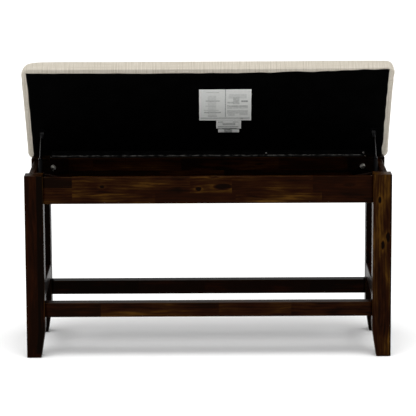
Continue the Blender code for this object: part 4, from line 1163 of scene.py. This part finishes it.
class BENCH_OT_dust_cover(bpy.types.Operator):
    """Makes the black dust cover that is stapled under the lid"""
    bl_idname = "bench.dust_cover"
    bl_label = "Dust cover"

    def execute(self, context):
        low, high = closed_box("dust_cover")
        high.y += 9 * MM

        def shape(x, y, across, along):
            rim = max(abs(2 * across - 1), abs(2 * along - 1)) ** 12
            front = (1 - along) ** 6
            y -= front * (0.8 + 2.2 * abs(2 * across - 1) ** 3 + 36.0 * max(0.0, across - 0.55) ** 1.3) * MM
            # The edge wanders, most at the right end.
            loose = (1.2 + 4.5 * across) * MM * rim
            x += loose * noise.noise(Vector((x * 18, y * 18, 4)))
            y += loose * noise.noise(Vector((x * 20, y * 20, 9)))
            corner = (abs(2 * across - 1) * (1 - along)) ** 8
            x += math.copysign(2.5 * MM, x) * corner
            return x, y

        def height(x, y):
            return low.z + 0.4 * MM - sag(x, y, low, high)

        bm = sheet_grid(low, high, 9 * MM, shape, height)
        finish_sheet("dust-cover", bm, black_cambric(), "cambric", 0.5 * MM,
                     "dust_cover")
        return {"FINISHED"}


# The printed bars of each label: from and to across it, from and to down it, in mm, and their darkness.
PRINT = {
    "law-label": (
        (80.5, 82.5, 0, 128, 0.8), (27, 53, 28, 127, 0.30), (20, 64, 51, 56, 0.60), (16, 68, 103, 109, 0.60),
        (14, 60, 94, 98, 0.45), (27, 55, 121, 126, 0.55), (20, 62, 12, 16, 0.40), (20, 50, 75, 78, 0.40),
        (92, 148, 22, 42, 0.32), (105, 125, 36, 68, 0.50), (130, 151, 51, 58, 0.80),
        (87, 118, 57, 64, 0.50),
        (87, 151, 74, 79, 0.75), (87, 151, 83, 87, 0.65), (87, 151, 95, 112, 0.42),
        (125, 151, 112, 120, 0.40),
        (90, 110, 104, 122, 0.40), (3, 158, 130, 138, 0.45), (128, 138, 132, 140, 0.70),
    ),
    "label-tag": (
        (6, 22, 4, 9, 0.70), (52, 70, 4, 9, 0.60), (20, 60, 12, 22, 0.60), (6, 70, 27, 32, 0.70),
        (18, 64, 35, 38, 0.50),
    ),
    "label-strip": ((19, 44, 0, 20, 0.75),),
}
STRIP = (66 * MM, 14 * MM, 4 * MM)  # width and height of the strip, and how far it lies from the tag
LABEL_GRID = 1.25 * MM
LABEL_MARGIN = 3.5 * MM         # left white around the print
FINE_PRINT = 0.14               # grey of print too fine to part into bars


class BENCH_OT_labels(bpy.types.Operator):
    """Makes the fibre label on the dust cover, the tag below it and the printed strip"""
    bl_idname = "bench.labels"
    bl_label = "Labels"

    def execute(self, context):
        surface = printed_fibre()
        low, high = closed_box("dust_cover")
        tag_low, tag_high = closed_box("label_tag")
        middle = (tag_low.x + tag_high.x) / 2
        strip = (Vector((middle - STRIP[0] / 2, tag_high.y + STRIP[2], 0.0)),
                 Vector((middle + STRIP[0] / 2, tag_high.y + STRIP[2] + STRIP[1], 0.0)))
        places = (("law-label", closed_box("law_label"), "law_label"),
                  ("label-tag", (tag_low, tag_high), "label_tag"), ("label-strip", strip, None))

        def shape(x, y, across, along):
            x += 0.6 * MM * noise.noise(Vector((y * 30, 1, along)))
            return x, y + 0.6 * MM * noise.noise(Vector((x * 30, 5, across)))

        def height(x, y):
            return low.z - 0.25 * MM - sag(x, y, low, high)

        for name, (start, end), node in places:
            bm = sheet_grid(start, end, LABEL_GRID, shape, height)
            width, length = end.x - start.x, end.y - start.y
            layer = bm.verts.layers.float.new("ink")
            for vert in bm.verts:
                across, along = vert.co.x - start.x, vert.co.y - start.y
                rim = min(across, width - across, along, length - along)
                bars = [bar[4] for bar in PRINT[name] if bar[0] <= across / MM <= bar[1]
                        and bar[2] <= along / MM <= bar[3]]
                vert[layer] = max([0.0 if rim < LABEL_MARGIN else FINE_PRINT] + bars)
            finish_sheet(name, bm, surface, "label", 0.2 * MM, node)
        return {"FINISHED"}


# ---------------------------------------------------------------- stage
FLOOR_REACH = 90.0              # metres from the middle to each edge
OVERHEAD_FROM = Vector((0, -0.3, 0.954))
CAMERA_X = -0.6 * MM


class BENCH_OT_stage(bpy.types.Operator):
    """Sets out the floor, the room light, the soft overhead light and the camera"""
    bl_idname = "bench.stage"
    bl_label = "Stage"

    def execute(self, context):
        look = context.scene.bench_stage
        scene = context.scene
        scene.view_settings.view_transform = "Standard"

        bm = bmesh.new()
        corners = ((-1, -1), (1, -1), (1, 1), (-1, 1))
        bm.faces.new([bm.verts.new((FLOOR_REACH * x, FLOOR_REACH * y, 0.0)) for x, y in corners])
        mesh = bpy.data.meshes.new("floor")
        bm.to_mesh(mesh)
        bm.free()
        mesh.materials.append(matt_floor_paint())
        floor = bpy.data.objects.new("floor", mesh)

        world = scene.world or bpy.data.worlds.new("room")
        scene.world = world
        world.use_nodes = True
        background = world.node_tree.nodes["Background"]
        background.inputs["Color"].default_value = (1.0, 1.0, 1.0, 1.0)
        background.inputs["Strength"].default_value = look.sky

        lamp = bpy.data.lights.new("overhead", "SUN")
        lamp.energy = look.key
        lamp.angle = look.softness
        overhead = bpy.data.objects.new("overhead", lamp)
        overhead.rotation_euler = OVERHEAD_FROM.to_track_quat("Z", "Y").to_euler()

        lens = bpy.data.cameras.new("camera")
        lens.lens = look.lens
        lens.sensor_width = 36
        lens.clip_end = 500
        camera = bpy.data.objects.new("camera", lens)
        right = Vector((1, 0, 0))
        up = Vector((0, math.sin(look.pitch), math.cos(look.pitch)))
        ahead = Vector((0, math.cos(look.pitch), -math.sin(look.pitch)))
        leaned = math.cos(look.roll) * right + math.sin(look.roll) * up
        upright = math.cos(look.roll) * up - math.sin(look.roll) * right
        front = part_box("leg_front_left")[0].y
        camera.matrix_world = Matrix.Translation((CAMERA_X, front - look.distance, look.height)) @ Matrix(
            (leaned, upright, -ahead)).transposed().to_4x4()
        for item in (floor, overhead, camera):
            scene.collection.objects.link(item)
        scene.camera = camera
        return {"FINISHED"}


# ---------------------------------------------------------------- panel and registration
OPERATORS = (BENCH_OT_timber, BENCH_OT_storage_box, BENCH_OT_fixings, BENCH_OT_hinge, BENCH_OT_stays,
             BENCH_OT_cushion, BENCH_OT_dust_cover, BENCH_OT_labels, BENCH_OT_stage)
GROUPS = (("bench_timber", BENCH_PG_timber), ("bench_lid", BENCH_PG_lid),
          ("bench_fittings", BENCH_PG_fittings), ("bench_stage", BENCH_PG_stage))


class BENCH_PT_panel(bpy.types.Panel):
    """Lists the bench's sizes, colours and building steps"""
    bl_label = "Storage bench"
    bl_idname = "BENCH_PT_panel"
    bl_space_type = "VIEW_3D"
    bl_region_type = "UI"
    bl_category = "Bench"

    def draw(self, context):
        for name, group in GROUPS:
            box = self.layout.box()
            for value in group.__annotations__:
                box.prop(getattr(context.scene, name), value)
        for operator in OPERATORS:
            self.layout.operator(operator.bl_idname)


def register():
    """Adds the property groups, the operators and the panel."""
    for name, group in GROUPS:
        bpy.utils.register_class(group)
        setattr(bpy.types.Scene, name, bpy.props.PointerProperty(type=group))
    for item in (*OPERATORS, BENCH_PT_panel):
        bpy.utils.register_class(item)


def unregister():
    """Takes them away again."""
    for item in (BENCH_PT_panel, *reversed(OPERATORS)):
        bpy.utils.unregister_class(item)
    for name, group in reversed(GROUPS):
        delattr(bpy.types.Scene, name)
        bpy.utils.unregister_class(group)


def main():
    """Builds the whole bench and its stage."""
    register()
    for operator in OPERATORS:
        group, name = operator.bl_idname.split(".")
        if getattr(getattr(bpy.ops, group), name)() != {"FINISHED"}:
            raise RuntimeError(f"{operator.bl_label} did not finish")


if __name__ == "__main__":
    main()
